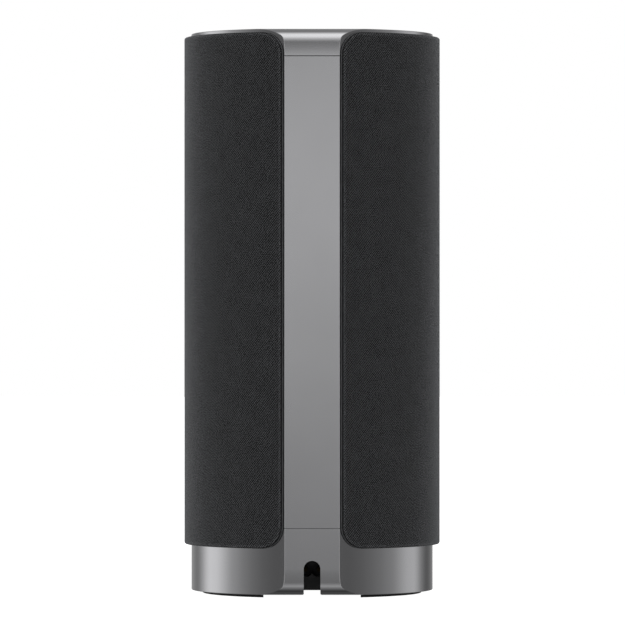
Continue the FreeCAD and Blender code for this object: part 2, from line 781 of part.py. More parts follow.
def make_cabinet_front():
    body = new_body("cabinet_front")
    length = "upper_deck_low - deck_top"
    sketch = new_sketch(body, "XY", "outside", out="deck_top")
    outline(sketch, front_section("cabinet_radius", "side_reach", "baffle_reach", "split_reach"))
    grow(body, "Pad", sketch, length)
    room = new_sketch(body, "XY", "room", out="deck_top + cabinet_wall")
    outline(room, front_section("cavity_radius", "(side_reach - cabinet_wall)",
                                "(baffle_reach - cabinet_wall)", "(split_reach + 1)"))
    grow(body, "Pocket", room, f"{length} - 2 * cabinet_wall", back=True)
    discs(body, "bosses", "4", "split_reach - 12", "12", boss_places(), plane="XZ")
    holes(body, "boss_bores", boss_places(), "boss_bore", "split_reach - 10", "12", plane="XZ")
    holes(body, "woofer_hole", [("0", "woofer_level")], "woofer_hole", "-1 * baffle_reach - 1",
          "cabinet_wall + 2", plane="XZ")
    holes(body, "tweeter_hole", [("0", "tweeter_level")], "tweeter_hole",
          "-1 * baffle_reach - 1", "cabinet_wall + 2", plane="XZ")
    holes(body, "driver_screws", driver_places(), "pilot_bore", "-1 * baffle_reach - 1",
          "cabinet_wall + 2", plane="XZ")
    sides = new_sketch(body, "YZ", "radiator_holes")
    racetrack(sides, "radiator_hole_half", "radiator_straight", up="radiator_level")
    grow(body, "Pocket", sides, "body_radius * 2", both=True)
    holes(body, "lead_hole", [lead_place()], "wire_hole_radius", "deck_top - 1",
          "cabinet_wall + 2")
    return body


def make_cabinet_rear():
    body = new_body("cabinet_rear")
    length = "upper_deck_low - deck_top"
    half = "sqrt(cabinet_radius^2 - gasket_back^2)"
    sketch = new_sketch(body, "XY", "outside", out="deck_top")
    outline(sketch, [(f"-1 * {half}", "-1 * gasket_back", "cabinet_radius"),
                     (half, "-1 * gasket_back")])
    grow(body, "Pad", sketch, length)
    inner = "sqrt(cavity_radius^2 - split_reach^2)"
    room = new_sketch(body, "XY", "room", out="deck_top + cabinet_wall")
    outline(room, [(f"-1 * {inner}", "-1 * split_reach", "cavity_radius"),
                   (inner, "-1 * split_reach")])
    grow(body, "Pocket", room, f"{length} - 2 * cabinet_wall", back=True)
    discs(body, "bosses", "4", "gasket_back", "5", boss_places(), plane="XZ")
    holes(body, "screw_seats", boss_places(), "2.8", "split_reach + 8", "30", plane="XZ")
    holes(body, "boss_bores", boss_places(), "1.4", "split_reach - 1", "30", plane="XZ")
    return body


def make_cabinet_gasket():
    body = new_body("cabinet_gasket")
    outer = "sqrt(cabinet_radius^2 - gasket_back^2)"
    inner = "sqrt(cavity_radius^2 - split_reach^2)"
    sketch = new_sketch(body, "XZ", "frame", out="split_reach")
    box_outline(sketch, f"-1 * {outer}", "deck_top", outer, "upper_deck_low")
    box_outline(sketch, f"-1 * {inner}", "deck_top + cabinet_wall", inner,
                "upper_deck_low - cabinet_wall")
    grow(body, "Pad", sketch, "gasket_thick")
    return body


def lead_place():
    return ("lead_across", "motor_front - 2")


def make_wire_grommet():
    """Sleeve through the deck and the cabinet's floor, with a collar that rests on the floor."""
    body = new_body("wire_grommet")
    sleeve_length = "(deck_thick + cabinet_wall + fuse_lap)"
    disc(body, "sleeve", "wire_hole_radius", "base_top", sleeve_length, *lead_place())
    disc(body, "collar", "wire_hole_radius + 2", "deck_top + cabinet_wall", "1.5", *lead_place())
    holes(body, "bore", [lead_place()], "wire_radius + 0.05", "base_top - 1",
          f"{sleeve_length} + 5")
    return body


# ---------------------------------------------------------------- drivers

def driver_profile(label, level, corners):
    """A piece turned about a driver's own axis; corners are (radius, place along +Y)."""
    body = new_body(label)
    sketch = new_sketch(body, "YZ", "profile", up=level)
    outline(sketch, [(corner[1], corner[0]) + tuple(corner[2:]) for corner in corners])
    spin(body, sketch, "H_Axis")
    return body


def driver_places():
    turns = (45.0, 135.0, 225.0, 315.0)
    places = []
    for reach, level in (("(woofer_flange - 2)", "woofer_level"),
                         ("(tweeter_flange - 1.7)", "tweeter_level")):
        for turn in turns:
            across = round(math.cos(math.radians(turn)), 6)
            up = round(math.sin(math.radians(turn)), 6)
            places.append((f"{reach} * {across}", f"{level} + {reach} * {up}"))
    return places


def make_woofer_gasket():
    return driver_profile("woofer_gasket", "woofer_level", [
        ("woofer_hole + 0.3", "baffle_reach"), ("woofer_hole + 0.3", "baffle_reach + gasket_thick"),
        ("woofer_flange - 4", "baffle_reach + gasket_thick"), ("woofer_flange - 4", "baffle_reach")])


def make_woofer_basket():
    """Pressed basket: a flange on the baffle, a cone-shaped cage and the motor's seat."""
    flange = "baffle_reach + gasket_thick"
    body = driver_profile("woofer_basket", "woofer_level", [
        ("woofer_hole - 2", "flange_front"), ("woofer_flange", "flange_front"),
        ("woofer_flange", flange), ("woofer_hole - 0.4", flange),
        ("magnet_radius", "motor_front + 4"), ("magnet_radius", "motor_front"),
        ("coil_outer + 2", "motor_front"), ("coil_outer + 2", "motor_front + 1.5"),
        ("magnet_radius - 2", "motor_front + 1.5"), ("magnet_radius - 2", "motor_front + 4"),
        ("woofer_hole - 2.4", f"{flange} + 0.6")])
    sketch = new_sketch(body, "XZ", "windows", out="-1 * (motor_front + 20)")
    outline(sketch, [("magnet_radius + 1", "woofer_level - 7"), ("woofer_hole + 5", "woofer_level - 7"),
                     ("woofer_hole + 5", "woofer_level + 7"), ("magnet_radius + 1", "woofer_level + 7")])
    pocket = grow(body, "Pocket", sketch, "14.5", back=True)
    fan = body.newObject("PartDesign::PolarPattern", "window_fan")
    fan.Originals = [pocket]
    axis = new_sketch(body, "XZ", "axis", up="woofer_level")
    fan.Axis = (axis, ["N_Axis"])
    fan.Angle = 360
    fan.Occurrences = 6
    body.Tip = fan
    holes(body, "screw_holes", driver_places()[:4], "1.3", "-1 * flange_front - 1", "8",
          plane="XZ")
    return body


def make_woofer_top_plate():
    return driver_profile("woofer_top_plate", "woofer_level", [
        ("coil_outer + coil_gap", "motor_front - 4"), ("magnet_radius - 2", "motor_front - 4"),
        ("magnet_radius - 2", "motor_front"), ("coil_outer + coil_gap", "motor_front")])


def make_woofer_magnet():
    return driver_profile("woofer_magnet", "woofer_level", [
        ("coil_outer + 3", "motor_front - 14"), ("magnet_radius", "motor_front - 14"),
        ("magnet_radius", "motor_front - 4"), ("coil_outer + 3", "motor_front - 4")])


def make_woofer_yoke():
    return driver_profile("woofer_yoke", "woofer_level", [
        ("0", "motor_front - 18"), ("magnet_radius - 2", "motor_front - 18"),
        ("magnet_radius - 2", "motor_front - 14"), ("pole_radius", "motor_front - 14"),
        ("pole_radius", "motor_front"), ("0", "motor_front")])


def make_voice_coil():
    """Former and winding, bonded to the cone's neck."""
    inner = "pole_radius + 0.3"
    return driver_profile("voice_coil", "woofer_level", [
        (inner, "motor_front - 7"), ("coil_outer", "motor_front - 7"),
        ("coil_outer", "motor_front + 1"), (f"{inner} + 0.3", "motor_front + 1"),
        (f"{inner} + 0.3", "flange_front - 16"), (inner, "flange_front - 16")])


def make_woofer_cone():
    neck = "pole_radius + 0.3"
    return driver_profile("woofer_cone", "woofer_level", [
        (neck, "flange_front - 16"), (f"{neck} + 0.5", "flange_front - 16"),
        ("cone_radius", "flange_front - 1"), ("cone_radius", "flange_front + 0.2"),
        ("cone_radius - 0.8", "flange_front + 0.2"), (neck, "flange_front - 14.8")])


def make_woofer_dust_cap():
    base = "(pole_radius + 3.3)"
    crown = "3.7"
    outer = f"({base}^2 + {crown}^2) / (2 * {crown})"
    inner = f"(({base} - 0.7)^2 + ({crown} - 0.25)^2) / (2 * ({crown} - 0.25))"
    return driver_profile("woofer_dust_cap", "woofer_level", [
        ("0", f"flange_front - 12.68 + {crown}", outer), (base, "flange_front - 12.68"),
        (f"{base} - 0.7", "flange_front - 13.15", f"-1 * ({inner})"),
        ("0", f"flange_front - 13.15 + {crown} - 0.25")])


def make_woofer_surround():
    """Half-roll surround from the cone's edge to the basket's flange."""
    outer = "woofer_flange - 4.2"
    return driver_profile("woofer_surround", "woofer_level", [
        ("cone_radius + 0.1", "flange_front"), ("cone_radius + 0.1", "flange_front + 0.6"),
        ("cone_radius + 0.9", "flange_front + 0.6", "2"),
        ("cone_radius + 4.4", "flange_front + 0.6"), (outer, "flange_front + 0.6"),
        (outer, "flange_front"), ("cone_radius + 3.8", "flange_front", "-1.4"),
        ("cone_radius + 1.5", "flange_front")])


def make_woofer_spider():
    return driver_profile("woofer_spider", "woofer_level", [
        ("pole_radius + 0.7", "motor_front + 4"), ("magnet_radius - 2", "motor_front + 4"),
        ("magnet_radius - 2", "motor_front + 4.7"), ("pole_radius + 0.7", "motor_front + 4.7")])


def make_driver_screws():
    body = new_body("driver_screws", several=True)
    woofer = driver_places()[:4]
    tweeter = driver_places()[4:]
    discs(body, "woofer_heads", "1.9", "-1 * flange_front - 1.4", "1.4", woofer, plane="XZ")
    discs(body, "woofer_shanks", "small_shank", "-1 * flange_front", "6.5", woofer, plane="XZ")
    discs(body, "tweeter_heads", "1.4", "-1 * baffle_reach - 3.4", "1.4", tweeter, plane="XZ")
    discs(body, "tweeter_shanks", "small_shank", "-1 * baffle_reach - 2", "5", tweeter, plane="XZ")
    return body


def make_tweeter_faceplate():
    face = "baffle_reach"
    body = driver_profile("tweeter_faceplate", "tweeter_level", [
        ("dome_radius + 1.6", face), ("tweeter_flange", face), ("tweeter_flange", f"{face} + 2"),
        ("dome_radius + 3.4", f"{face} + 2"), ("dome_radius + 1.6", f"{face} + 1")])
    holes(body, "screw_holes", driver_places()[4:], "1", f"-1 * {face} - 3", "4", plane="XZ")
    return body


def make_tweeter_motor():
    back = "baffle_reach - 14"
    front = "baffle_reach"
    return driver_profile("tweeter_motor", "tweeter_level", [
        ("0", back), ("tweeter_hole - 0.2", back), ("tweeter_hole - 0.2", front),
        ("dome_radius + 0.5", front), ("dome_radius + 0.5", "baffle_reach - 4"),
        ("dome_radius - 0.9", "baffle_reach - 4"), ("dome_radius - 0.9", "baffle_reach - 1.5"),
        ("0", "baffle_reach - 1.5")])


def make_tweeter_dome():
    """Silk dome with its former, bonded as one piece."""
    inner = "(dome_radius - 0.4)"
    crown = "7.2"
    outside = f"(dome_radius^2 + {crown}^2) / (2 * {crown})"
    inside = f"({inner}^2 + ({crown} - 0.4)^2) / (2 * ({crown} - 0.4))"
    return driver_profile("tweeter_dome", "tweeter_level", [
        (inner, "baffle_reach - 3"), ("dome_radius", "baffle_reach - 3"),
        ("dome_radius", "baffle_reach + 0.2", f"-1 * ({outside})"),
        ("0", f"baffle_reach + 0.2 + {crown}"),
        ("0", f"baffle_reach - 0.2 + {crown}", inside), (inner, "baffle_reach + 0.2")])


def side_level(side, reach, thick):
    """Where a pad of the given thickness starts so that it stands out from the cabinet's side."""
    return f"side_reach + {reach}" if side > 0 else f"-1 * (side_reach + {reach} + {thick})"


def make_radiator_frame(word, side):
    body = new_body(f"radiator_frame_{word}")
    sketch = new_sketch(body, "YZ", "frame", out=side_level(side, "0", "2"))
    racetrack(sketch, "radiator_frame_half", "radiator_straight", up="radiator_level")
    racetrack(sketch, "radiator_hole_half", "radiator_straight", up="radiator_level")
    grow(body, "Pad", sketch, "2")


def make_radiator_plate(word, side):
    body = new_body(f"radiator_plate_{word}")
    sketch = new_sketch(body, "YZ", "plate", out=side_level(side, "2", "1.5"))
    racetrack(sketch, "radiator_plate_half", "radiator_straight", up="radiator_level")
    grow(body, "Pad", sketch, "1.5")
    disc(body, "weight", "8", side_level(side, "-2", "4"), "4", "0", "radiator_level", plane="YZ")


def make_radiator_surround(word, side):
    body = new_body(f"radiator_surround_{word}")
    sketch = new_sketch(body, "YZ", "surround", out=side_level(side, "2", "1"))
    racetrack(sketch, "(radiator_hole_half + 2.5)", "radiator_straight", up="radiator_level")
    racetrack(sketch, "(radiator_plate_half + 0.1)", "radiator_straight", up="radiator_level")
    grow(body, "Pad", sketch, "1")


# ---------------------------------------------------------------- speaker lead

def make_woofer_lead():
    """Two-core lead from the main board straight up to the rim of the woofer's motor."""
    radius = "wire_radius"
    rim = "magnet_radius - 2"
    low = "main_top + 2.4"
    lead = doc.addObject("Part::Cylinder", "woofer_lead")
    reach = f"sqrt(({rim} + {radius})^2 - lead_across^2)"
    bind(lead, Radius=radius, Height=f"woofer_level - {reach} - ({low})",
         Placement__Base__x=lead_place()[0], Placement__Base__y=lead_place()[1],
         Placement__Base__z=low)
    return lead


# ---------------------------------------------------------------- top

def post_places():
    return spots("post_ring", 4, 45.0)


def make_upper_deck():
    """Deck over the cabinet, with posts for the top board and the control panel."""
    body = new_body("upper_deck")
    d_pad(body, "plate", "upper_deck_low", "deck_thick")
    discs(body, "shoulders", "4.5", "cap_bottom - fuse_lap", "top_rise + fuse_lap", post_places())
    discs(body, "posts", "board_post", "cap_bottom - fuse_lap", "panel_low - cap_bottom + fuse_lap",
          post_places())
    holes(body, "screw_seats", spots("cap_screw_ring", 3, 90.0), "2.6", "upper_deck_low - 1", "2.5")
    holes(body, "screw_holes", spots("cap_screw_ring", 3, 90.0), "boss_bore", "upper_deck_low - 1", "9")
    ribbon_slot(body, "upper_deck_low - 1", "deck_thick + 2")
    return body


def make_top_board():
    body = new_body("top_board")
    disc(body, "board", "top_board_radius", "top_board_low", "board_thick")
    holes(body, "post_holes", post_places(), "3.1", "top_board_low - 1", "4")
    return body


def button_places():
    return {"button_volume_up": ("button_ring", "0"),
            "button_volume_down": ("-1 * button_ring", "0"),
            "button_action": ("0", "button_ring"),
            "button_mic_mute": ("0", "-1 * button_ring")}


def make_tact_switches():
    """Housings on the top board, each with its plunger standing on it."""
    body = new_body("tact_switches", several=True)
    sketch = new_sketch(body, "XY", "housings", out="top_board_top")
    for across, up in button_places().values():
        box_outline(sketch, f"{across} - 2.6", f"{up} - 2.6", f"{across} + 2.6", f"{up} + 2.6")
    grow(body, "Pad", sketch, "1.4")
    discs(body, "plungers", "1.2", "top_board_top + 1.4", "0.3", list(button_places().values()))
    return body


def make_light_leds():
    body = new_body("light_leds", several=True)
    sketch = new_sketch(body, "XY", "chips", out="top_board_top")
    for across, up in spots("light_ring_place", 12, 15.0):
        box_outline(sketch, f"{across} - 1", f"{up} - 1", f"{across} + 1", f"{up} + 1")
    grow(body, "Pad", sketch, "0.9")
    return body


def mic_places():
    return spots("mic_ring", 4, 22.5)


def make_microphones():
    body = new_body("microphones", several=True)
    sketch = new_sketch(body, "XY", "cans", out="top_board_top")
    for across, up in mic_places():
        box_outline(sketch, f"{across} - 1.9", f"{up} - 1.4", f"{across} + 1.9", f"{up} + 1.4")
    grow(body, "Pad", sketch, "1.1")
    return body


def make_mic_seals():
    body = new_body("mic_seals", several=True)
    sketch = new_sketch(body, "XY", "tubes", out="top_board_top + 1.1")
    for across, up in mic_places():
        ring(sketch, "1.3", across, up)
        ring(sketch, "0.7", across, up)
    grow(body, "Pad", sketch, "panel_low - top_board_top - 1.1")
    return body


def make_light_ring():
    """Diffuser that shows as a thin line between the cap and the control panel."""
    body = new_body("light_ring")
    sketch = new_sketch(body, "XZ", "section")
    inner = "panel_radius + 0.05"
    outer = "cap_opening - 0.1"
    outline(sketch, [(inner, "top_board_top + 1.6"), (outer, "top_board_top + 1.6"),
                     (outer, "cap_under - 1.2"), ("cap_opening + 1.5", "cap_under - 1.2"),
                     ("cap_opening + 1.5", "cap_under"), (outer, "cap_under"),
                     (outer, "panel_top"), (inner, "panel_top")])
    spin(body, sketch, "Z")
    return body


def make_control_panel():
    body = new_body("control_panel")
    disc(body, "disc", "panel_radius", "panel_low", "panel_thick")
    holes(body, "button_holes", list(button_places().values()), "button_radius + button_play",
          "panel_low - 1", "panel_thick + 2")
    holes(body, "mic_holes", mic_places(), "0.6", "panel_low - 1", "panel_thick + 2")
    return body


def make_button(label, place):
    """A cap that slides in the panel, with a retaining flange and a stem over its switch."""
    body = new_body(label)
    gap = "0.1"
    flange = "0.7"
    stem_low = "top_board_top + 1.7 + button_travel + 0.05"
    disc(body, "cap", "button_radius", f"panel_low - {gap}", f"panel_thick + {gap}", *place)
    disc(body, "flange", "button_radius + 0.9", f"panel_low - {gap} - {flange}", flange, *place)
    disc(body, "stem", "1.6", stem_low, f"panel_low - {gap} - {flange} - ({stem_low})", *place)
    return body


def build_all():
    make_base_shell()
    make_spine_panel()
    make_top_cap()
    make_grille_carrier()
    make_grille_cloth()
    make_rubber_foot()
    make_base_plate()
    make_cable_tray()
    make_power_inlet()
    make_inlet_pins()
    make_psu_board()
    make_transformer()
    make_psu_capacitors()
    make_board_screws()
    make_lower_deck()
    make_main_board()
    make_shield_cans()
    make_heat_sink()
    make_board_connectors()
    make_ribbon_cable()
    make_cabinet_front()
    make_cabinet_rear()
    make_cabinet_gasket()
    make_wire_grommet()
    make_woofer_gasket()
    make_woofer_basket()
    make_woofer_top_plate()
    make_woofer_magnet()
    make_woofer_yoke()
    make_voice_coil()
    make_woofer_cone()
    make_woofer_dust_cap()
    make_woofer_surround()
    make_woofer_spider()
    make_driver_screws()
    make_tweeter_faceplate()
    make_tweeter_motor()
    make_tweeter_dome()
    for word, side in (("left", -1), ("right", 1)):
        make_radiator_frame(word, side)
        make_radiator_plate(word, side)
        make_radiator_surround(word, side)
    make_woofer_lead()
    make_upper_deck()
    make_top_board()
    make_tact_switches()
    make_light_leds()
    make_microphones()
    make_mic_seals()
    make_light_ring()
    make_control_panel()
    for label, place in button_places().items():
        make_button(label, place)
    screw_set("base_screws", spots("base_screw_ring", 4, 45.0), "foot_height", "9", "1.1", "2.7",
              "1.4")
    screw_set("top_screws", spots("cap_screw_ring", 3, 90.0), "upper_deck_low", "8", "1.1", "2.5", "1.5")
    screw_set("cabinet_screws", boss_places(), "split_reach + 8", "17", "1.1", "2.5", "1.6",
              plane="XZ", up=False)
    doc.recompute()


def sub_parts():
    """Every finished piece: the bodies and the code-made shapes, without helper solids."""
    helpers = {"cloth_blank", "cloth_room"}
    kinds = ("PartDesign::Body", "Part::Cut", "Part::Cylinder")
    return [item for item in doc.Objects if item.TypeId in kinds and item.Label not in helpers]


def check_document():
    for item in doc.Objects:
        if "Invalid" in item.State or "Error" in item.State:
            raise RuntimeError(f"{item.Name} failed: {item.State}")
    for part in sub_parts():
        if part.Shape.isNull() or not part.Shape.isValid() or part.Shape.Volume <= 0:
            raise RuntimeError(part.Label + " has no sound solid")


def write_parts():
    os.makedirs("parts", exist_ok=True)
    for part in sub_parts():
        part.Shape.exportStep(f"parts/{part.Label}.step")


build_all()
check_document()
write_parts()
print(len(sub_parts()), "sub-parts written")
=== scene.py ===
"""The looks of a tall smart speaker: an aluminium column in a woven cover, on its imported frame.

Metres. The flat spine and the lead's notch face -Y. The sizes below come from the frame's
boxes, and the panel's properties hold what a user would change.
"""
import json
import math
import bmesh
import bpy
from bpy.props import FloatProperty, FloatVectorProperty, IntProperty, PointerProperty
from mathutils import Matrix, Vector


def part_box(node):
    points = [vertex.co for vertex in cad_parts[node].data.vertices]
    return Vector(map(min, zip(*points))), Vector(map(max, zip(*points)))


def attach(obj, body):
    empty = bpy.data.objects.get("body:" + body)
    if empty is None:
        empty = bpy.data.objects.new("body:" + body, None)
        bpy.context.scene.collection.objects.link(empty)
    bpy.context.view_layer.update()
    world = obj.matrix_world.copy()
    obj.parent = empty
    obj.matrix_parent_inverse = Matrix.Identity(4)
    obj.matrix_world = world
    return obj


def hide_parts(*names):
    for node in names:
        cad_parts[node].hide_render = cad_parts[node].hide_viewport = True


bl_info = {
    "name": "Smart speaker looks",
    "version": (1, 0, 0),
    "blender": (4, 5, 0),
    "location": "View3D > Sidebar > Speaker",
    "description": "Builds the visible pieces, materials and studio of a tall smart speaker",
    "category": "Object",
}

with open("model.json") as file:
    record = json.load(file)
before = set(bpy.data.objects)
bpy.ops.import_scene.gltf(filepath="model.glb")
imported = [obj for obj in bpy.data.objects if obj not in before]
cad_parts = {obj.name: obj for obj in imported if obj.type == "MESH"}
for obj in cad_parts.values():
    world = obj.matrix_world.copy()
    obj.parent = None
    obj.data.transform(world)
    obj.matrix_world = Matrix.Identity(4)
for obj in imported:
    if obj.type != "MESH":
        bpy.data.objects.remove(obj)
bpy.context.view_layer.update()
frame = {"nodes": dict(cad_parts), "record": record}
NODES = frame["nodes"]
RECORD = frame["record"]
MM = 0.001
ROUND = 192                     # facets round a full circle on a main piece


def low(node):
    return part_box(node)[0]


def high(node):
    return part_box(node)[1]


# Sizes read off the frame.
BODY_RADIUS = high("base_shell").x
FLAT_REACH = -low("top_cap").y
BODY_LOW = low("base_shell").z
BASE_TOP = high("base_shell").z
SPINE_LOW = low("spine_panel").z
SPINE_HIGH = high("spine_panel").z
SPINE_HALF = high("spine_panel").x
CAP_LOW = low("top_cap").z
BODY_HIGH = high("top_cap").z
METAL_WALL = 2.0 * MM
# Where the flat rolls over at each end: distance from the end at which each arc starts, and
# its radius. The arcs run on from each other without a kink, ever tighter.
SLAB_ARCS = ((13.0 * MM, 280.0 * MM), (6.8 * MM, 35.0 * MM), (4.5 * MM, 4.933 * MM))
RIM_ROUND = 0.35 * MM
SEAM_CHAMFER = 0.08 * MM
CAP_SEAM_CLOSE = 0.16 * MM      # how far the cap reaches into the upper seam's play
BASE_SEAM_CLOSE = 0.25 * MM     # how far the base reaches into the lower seam's play
CLOTH_RADIUS = high("grille_cloth").x
CLOTH_LOW = low("grille_cloth").z
CLOTH_HIGH = high("grille_cloth").z
# Sizes that more than one piece keeps to.
SHARP_METAL = 28.0              # degrees at which a metal edge stays sharp
CORNER_EASE = 0.0025            # radians from the flat's corner to the first point of the round
NOTCH_HALF = 4.1 * MM
NOTCH_TOP = 18.5 * MM
BAY_FRONT = -10.0 * MM          # the end of the plug's bay that the inlet faces
SCREW_RING = 44.0 * MM
FIRST_SCREW = math.radians(45)
WHITE = (1.0, 1.0, 1.0, 1.0)


# ---------------------------------------------------------------- small helpers

def to_linear(hex_colour):
    """An sRGB hex colour as linear red, green, blue and alpha."""
    parts = [int(hex_colour[i:i + 2], 16) / 255 for i in (1, 3, 5)]
    return tuple(p / 12.92 if p <= 0.04045 else ((p + 0.055) / 1.055) ** 2.4 for p in parts) + (1.0,)


def add_node(tree, kind, settings=None, links=None):
    """Adds a node. settings sets its properties or, by input name or number, its sockets.

    links joins inputs to outputs; a node given in place of an output stands for its first one.
    """
    node = tree.nodes.new(kind)
    for key, value in (settings or {}).items():
        if isinstance(key, str) and hasattr(node, key):
            setattr(node, key, value)
        else:
            node.inputs[key].default_value = value
    for key, source in (links or {}).items():
        if isinstance(source, bpy.types.Node):
            source = source.outputs[0]
        tree.links.new(source, node.inputs[key])
    return node


def closed_mesh(name, points, faces):
    """A mesh with its doubles merged and its faces pointing outwards."""
    mesh = bpy.data.meshes.new(name)
    mesh.from_pydata([tuple(p) for p in points], [], faces)
    work = bmesh.new()
    work.from_mesh(mesh)
    bmesh.ops.remove_doubles(work, verts=work.verts, dist=1e-7)
    bmesh.ops.recalc_face_normals(work, faces=work.faces)
    work.to_mesh(mesh)
    work.free()
    return mesh


def make_object(name, points, faces, body, slot, sharp=35.0, finish=None):
    """A closed mesh piece, smooth but for the edges sharper than an angle in degrees."""
    mesh = closed_mesh(name, points, faces)
    return place(bpy.data.objects.new(name, mesh), body, slot, sharp, finish)


def place(piece, body, slot, sharp=35.0, finish=None):
    """Links a finished piece and gives it its body and the material of its slot, or of the finish
    where one is given.
    """
    if piece.name not in bpy.context.scene.collection.objects:
        bpy.context.scene.collection.objects.link(piece)
    piece.data.shade_smooth()
    piece.data.set_sharp_from_angle(angle=math.radians(sharp))
    piece.data.materials.clear()
    piece.data.materials.append(MATERIALS[finish or slot])
    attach(piece, body)
    return piece


def ring_faces(rows, count, closed_rows):
    """Quads between rows of count points, each row closed on itself."""
    faces = []
    last = rows if closed_rows else rows - 1
    for row in range(last):
        here = row * count
        above = ((row + 1) % rows) * count
        for step in range(count):
            following = (step + 1) % count
            faces.append((here + step, here + following, above + following, above + step))
    return faces


def lathe(profile, steps=ROUND, centre=(0.0, 0.0)):
    """Turns (radius, height) pairs about an upright axis; a radius of 0 makes a pole."""
    points = []
    faces = []
    starts = []
    for radius, height in profile:
        starts.append(len(points))
        if radius <= 0:
            points.append((centre[0], centre[1], height))
            continue
        for step in range(steps):
            turn = 2 * math.pi * step / steps
            points.append((centre[0] + radius * math.cos(turn),
                           centre[1] + radius * math.sin(turn), height))
    closed = profile[0][0] > 0 and profile[-1][0] > 0
    pairs = list(zip(range(len(profile)), range(1, len(profile))))
    if closed:
        pairs.append((len(profile) - 1, 0))
    for a, b in pairs:
        for step in range(steps):
            following = (step + 1) % steps
            first = starts[a] + step
            second = starts[a] + following
            third = starts[b] + following
            fourth = starts[b] + step
            if profile[a][0] <= 0:
                faces.append((starts[a], third, fourth))
            elif profile[b][0] <= 0:
                faces.append((first, second, starts[b]))
            else:
                faces.append((first, second, third, fourth))
    return points, faces


def cut(piece, points, faces):
    """Cuts a closed shape out of a piece and leaves a plain mesh."""
    mesh = closed_mesh("cutter", points, faces)
    cutter = bpy.data.objects.new("cutter", mesh)
    bpy.context.scene.collection.objects.link(cutter)
    modifier = piece.modifiers.new("cut", "BOOLEAN")
    modifier.object = cutter
    modifier.operation = "DIFFERENCE"
    modifier.solver = "EXACT"
    apply_modifiers(piece)
    bpy.data.objects.remove(cutter)
    bpy.data.meshes.remove(mesh)


def apply_modifiers(piece):
    """Turns a piece's modifiers into its mesh."""
    bpy.context.view_layer.update()
    evaluated = piece.evaluated_get(bpy.context.evaluated_depsgraph_get())
    mesh = bpy.data.meshes.new_from_object(evaluated)
    old = piece.data
    piece.modifiers.clear()
    piece.data = mesh
    mesh.name = piece.name
    bpy.data.meshes.remove(old)


def prism(outline, axis, start, end):
    """A closed prism: a flat outline of (across, up) pairs pushed from start to end."""
    def at(across, up, depth):
        return (across, depth, up) if axis == "Y" else (across, up, depth)
    count = len(outline)
    points = [at(*pair, start) for pair in outline] + [at(*pair, end) for pair in outline]
    faces = [tuple(range(count)), tuple(range(2 * count - 1, count - 1, -1))]
    for step in range(count):
        following = (step + 1) % count
        faces.append((step, following, count + following, count + step))
    return points, faces


# ---------------------------------------------------------------- materials

def ramp(tree, value, first, last, stops):
    """Reads a value between first and last off a smooth curve of (value, level) pairs."""
    share = add_node(tree, "ShaderNodeMapRange", {1: first, 2: last}, {0: value})
    node = add_node(tree, "ShaderNodeValToRGB", links={0: share})
    node.color_ramp.interpolation = "CARDINAL"
    points = node.color_ramp.elements
    points.remove(points[1])
    points[0].position = 0.0
    for place_at, level in stops:
        share_at = (place_at - first) / (last - first)
        point = points[0] if place_at == stops[0][0] else points.new(share_at)
        point.position = share_at
        point.color = (level / 2, level / 2, level / 2, 1)
    return add_node(tree, "ShaderNodeMath", {"operation": "MULTIPLY", 1: 2.0},
                    {0: node})


def new_material(name):
    material = bpy.data.materials.new(name)
    material.use_nodes = True
    tree = material.node_tree
    tree.nodes.clear()
    shader = add_node(tree, "ShaderNodeBsdfPrincipled")
    add_node(tree, "ShaderNodeOutputMaterial", links={"Surface": shader})
    return material, tree, shader


def grainy(name, dark, light, grain, depth, roughness, settings=None):
    """A solid-coloured stuff with a fine surface grain: two close tones, uneven gloss and relief.

    grain is the width of one grain in millimetres, depth its height in millimetres.
    """
    spread = 0.06               # how far the gloss strays to each side of the roughness
    material, tree, shader = new_material(name)
    where = add_node(tree, "ShaderNodeTexCoord")
    fine = add_node(tree, "ShaderNodeTexNoise",
                    {"Scale": 1 / (grain * MM), "Detail": 3.0, "Roughness": 0.6},
                    {"Vector": where.outputs["Object"]})
    broad = add_node(tree, "ShaderNodeTexNoise", {"Scale": 35.0, "Detail": 4.0},
                     {"Vector": where.outputs["Object"]})
    both = add_node(tree, "ShaderNodeMath", {"operation": "MULTIPLY_ADD", 1: 0.5},
                    {0: fine.outputs["Fac"], 2: broad.outputs["Fac"]})
    tone = add_node(tree, "ShaderNodeMapRange", {1: 0.45, 2: 1.05}, {0: both})
    colour = add_node(tree, "ShaderNodeMix", {"data_type": "RGBA", 6: to_linear(dark),
                                              7: to_linear(light)}, {0: tone})
    gloss = add_node(tree, "ShaderNodeMapRange", {1: 0.3, 2: 0.7, 3: roughness - spread,
                                                  4: roughness + spread},
                     {0: broad.outputs["Fac"]})
    relief = add_node(tree, "ShaderNodeBump", {"Strength": 0.6, "Distance": depth * MM},
                      {"Height": fine.outputs["Fac"]})
    tree.links.new(colour.outputs[2], shader.inputs["Base Color"])
    tree.links.new(gloss.outputs[0], shader.inputs["Roughness"])
    tree.links.new(relief.outputs[0], shader.inputs["Normal"])
    for key, value in (settings or {}).items():
        shader.inputs[key].default_value = value
    return material


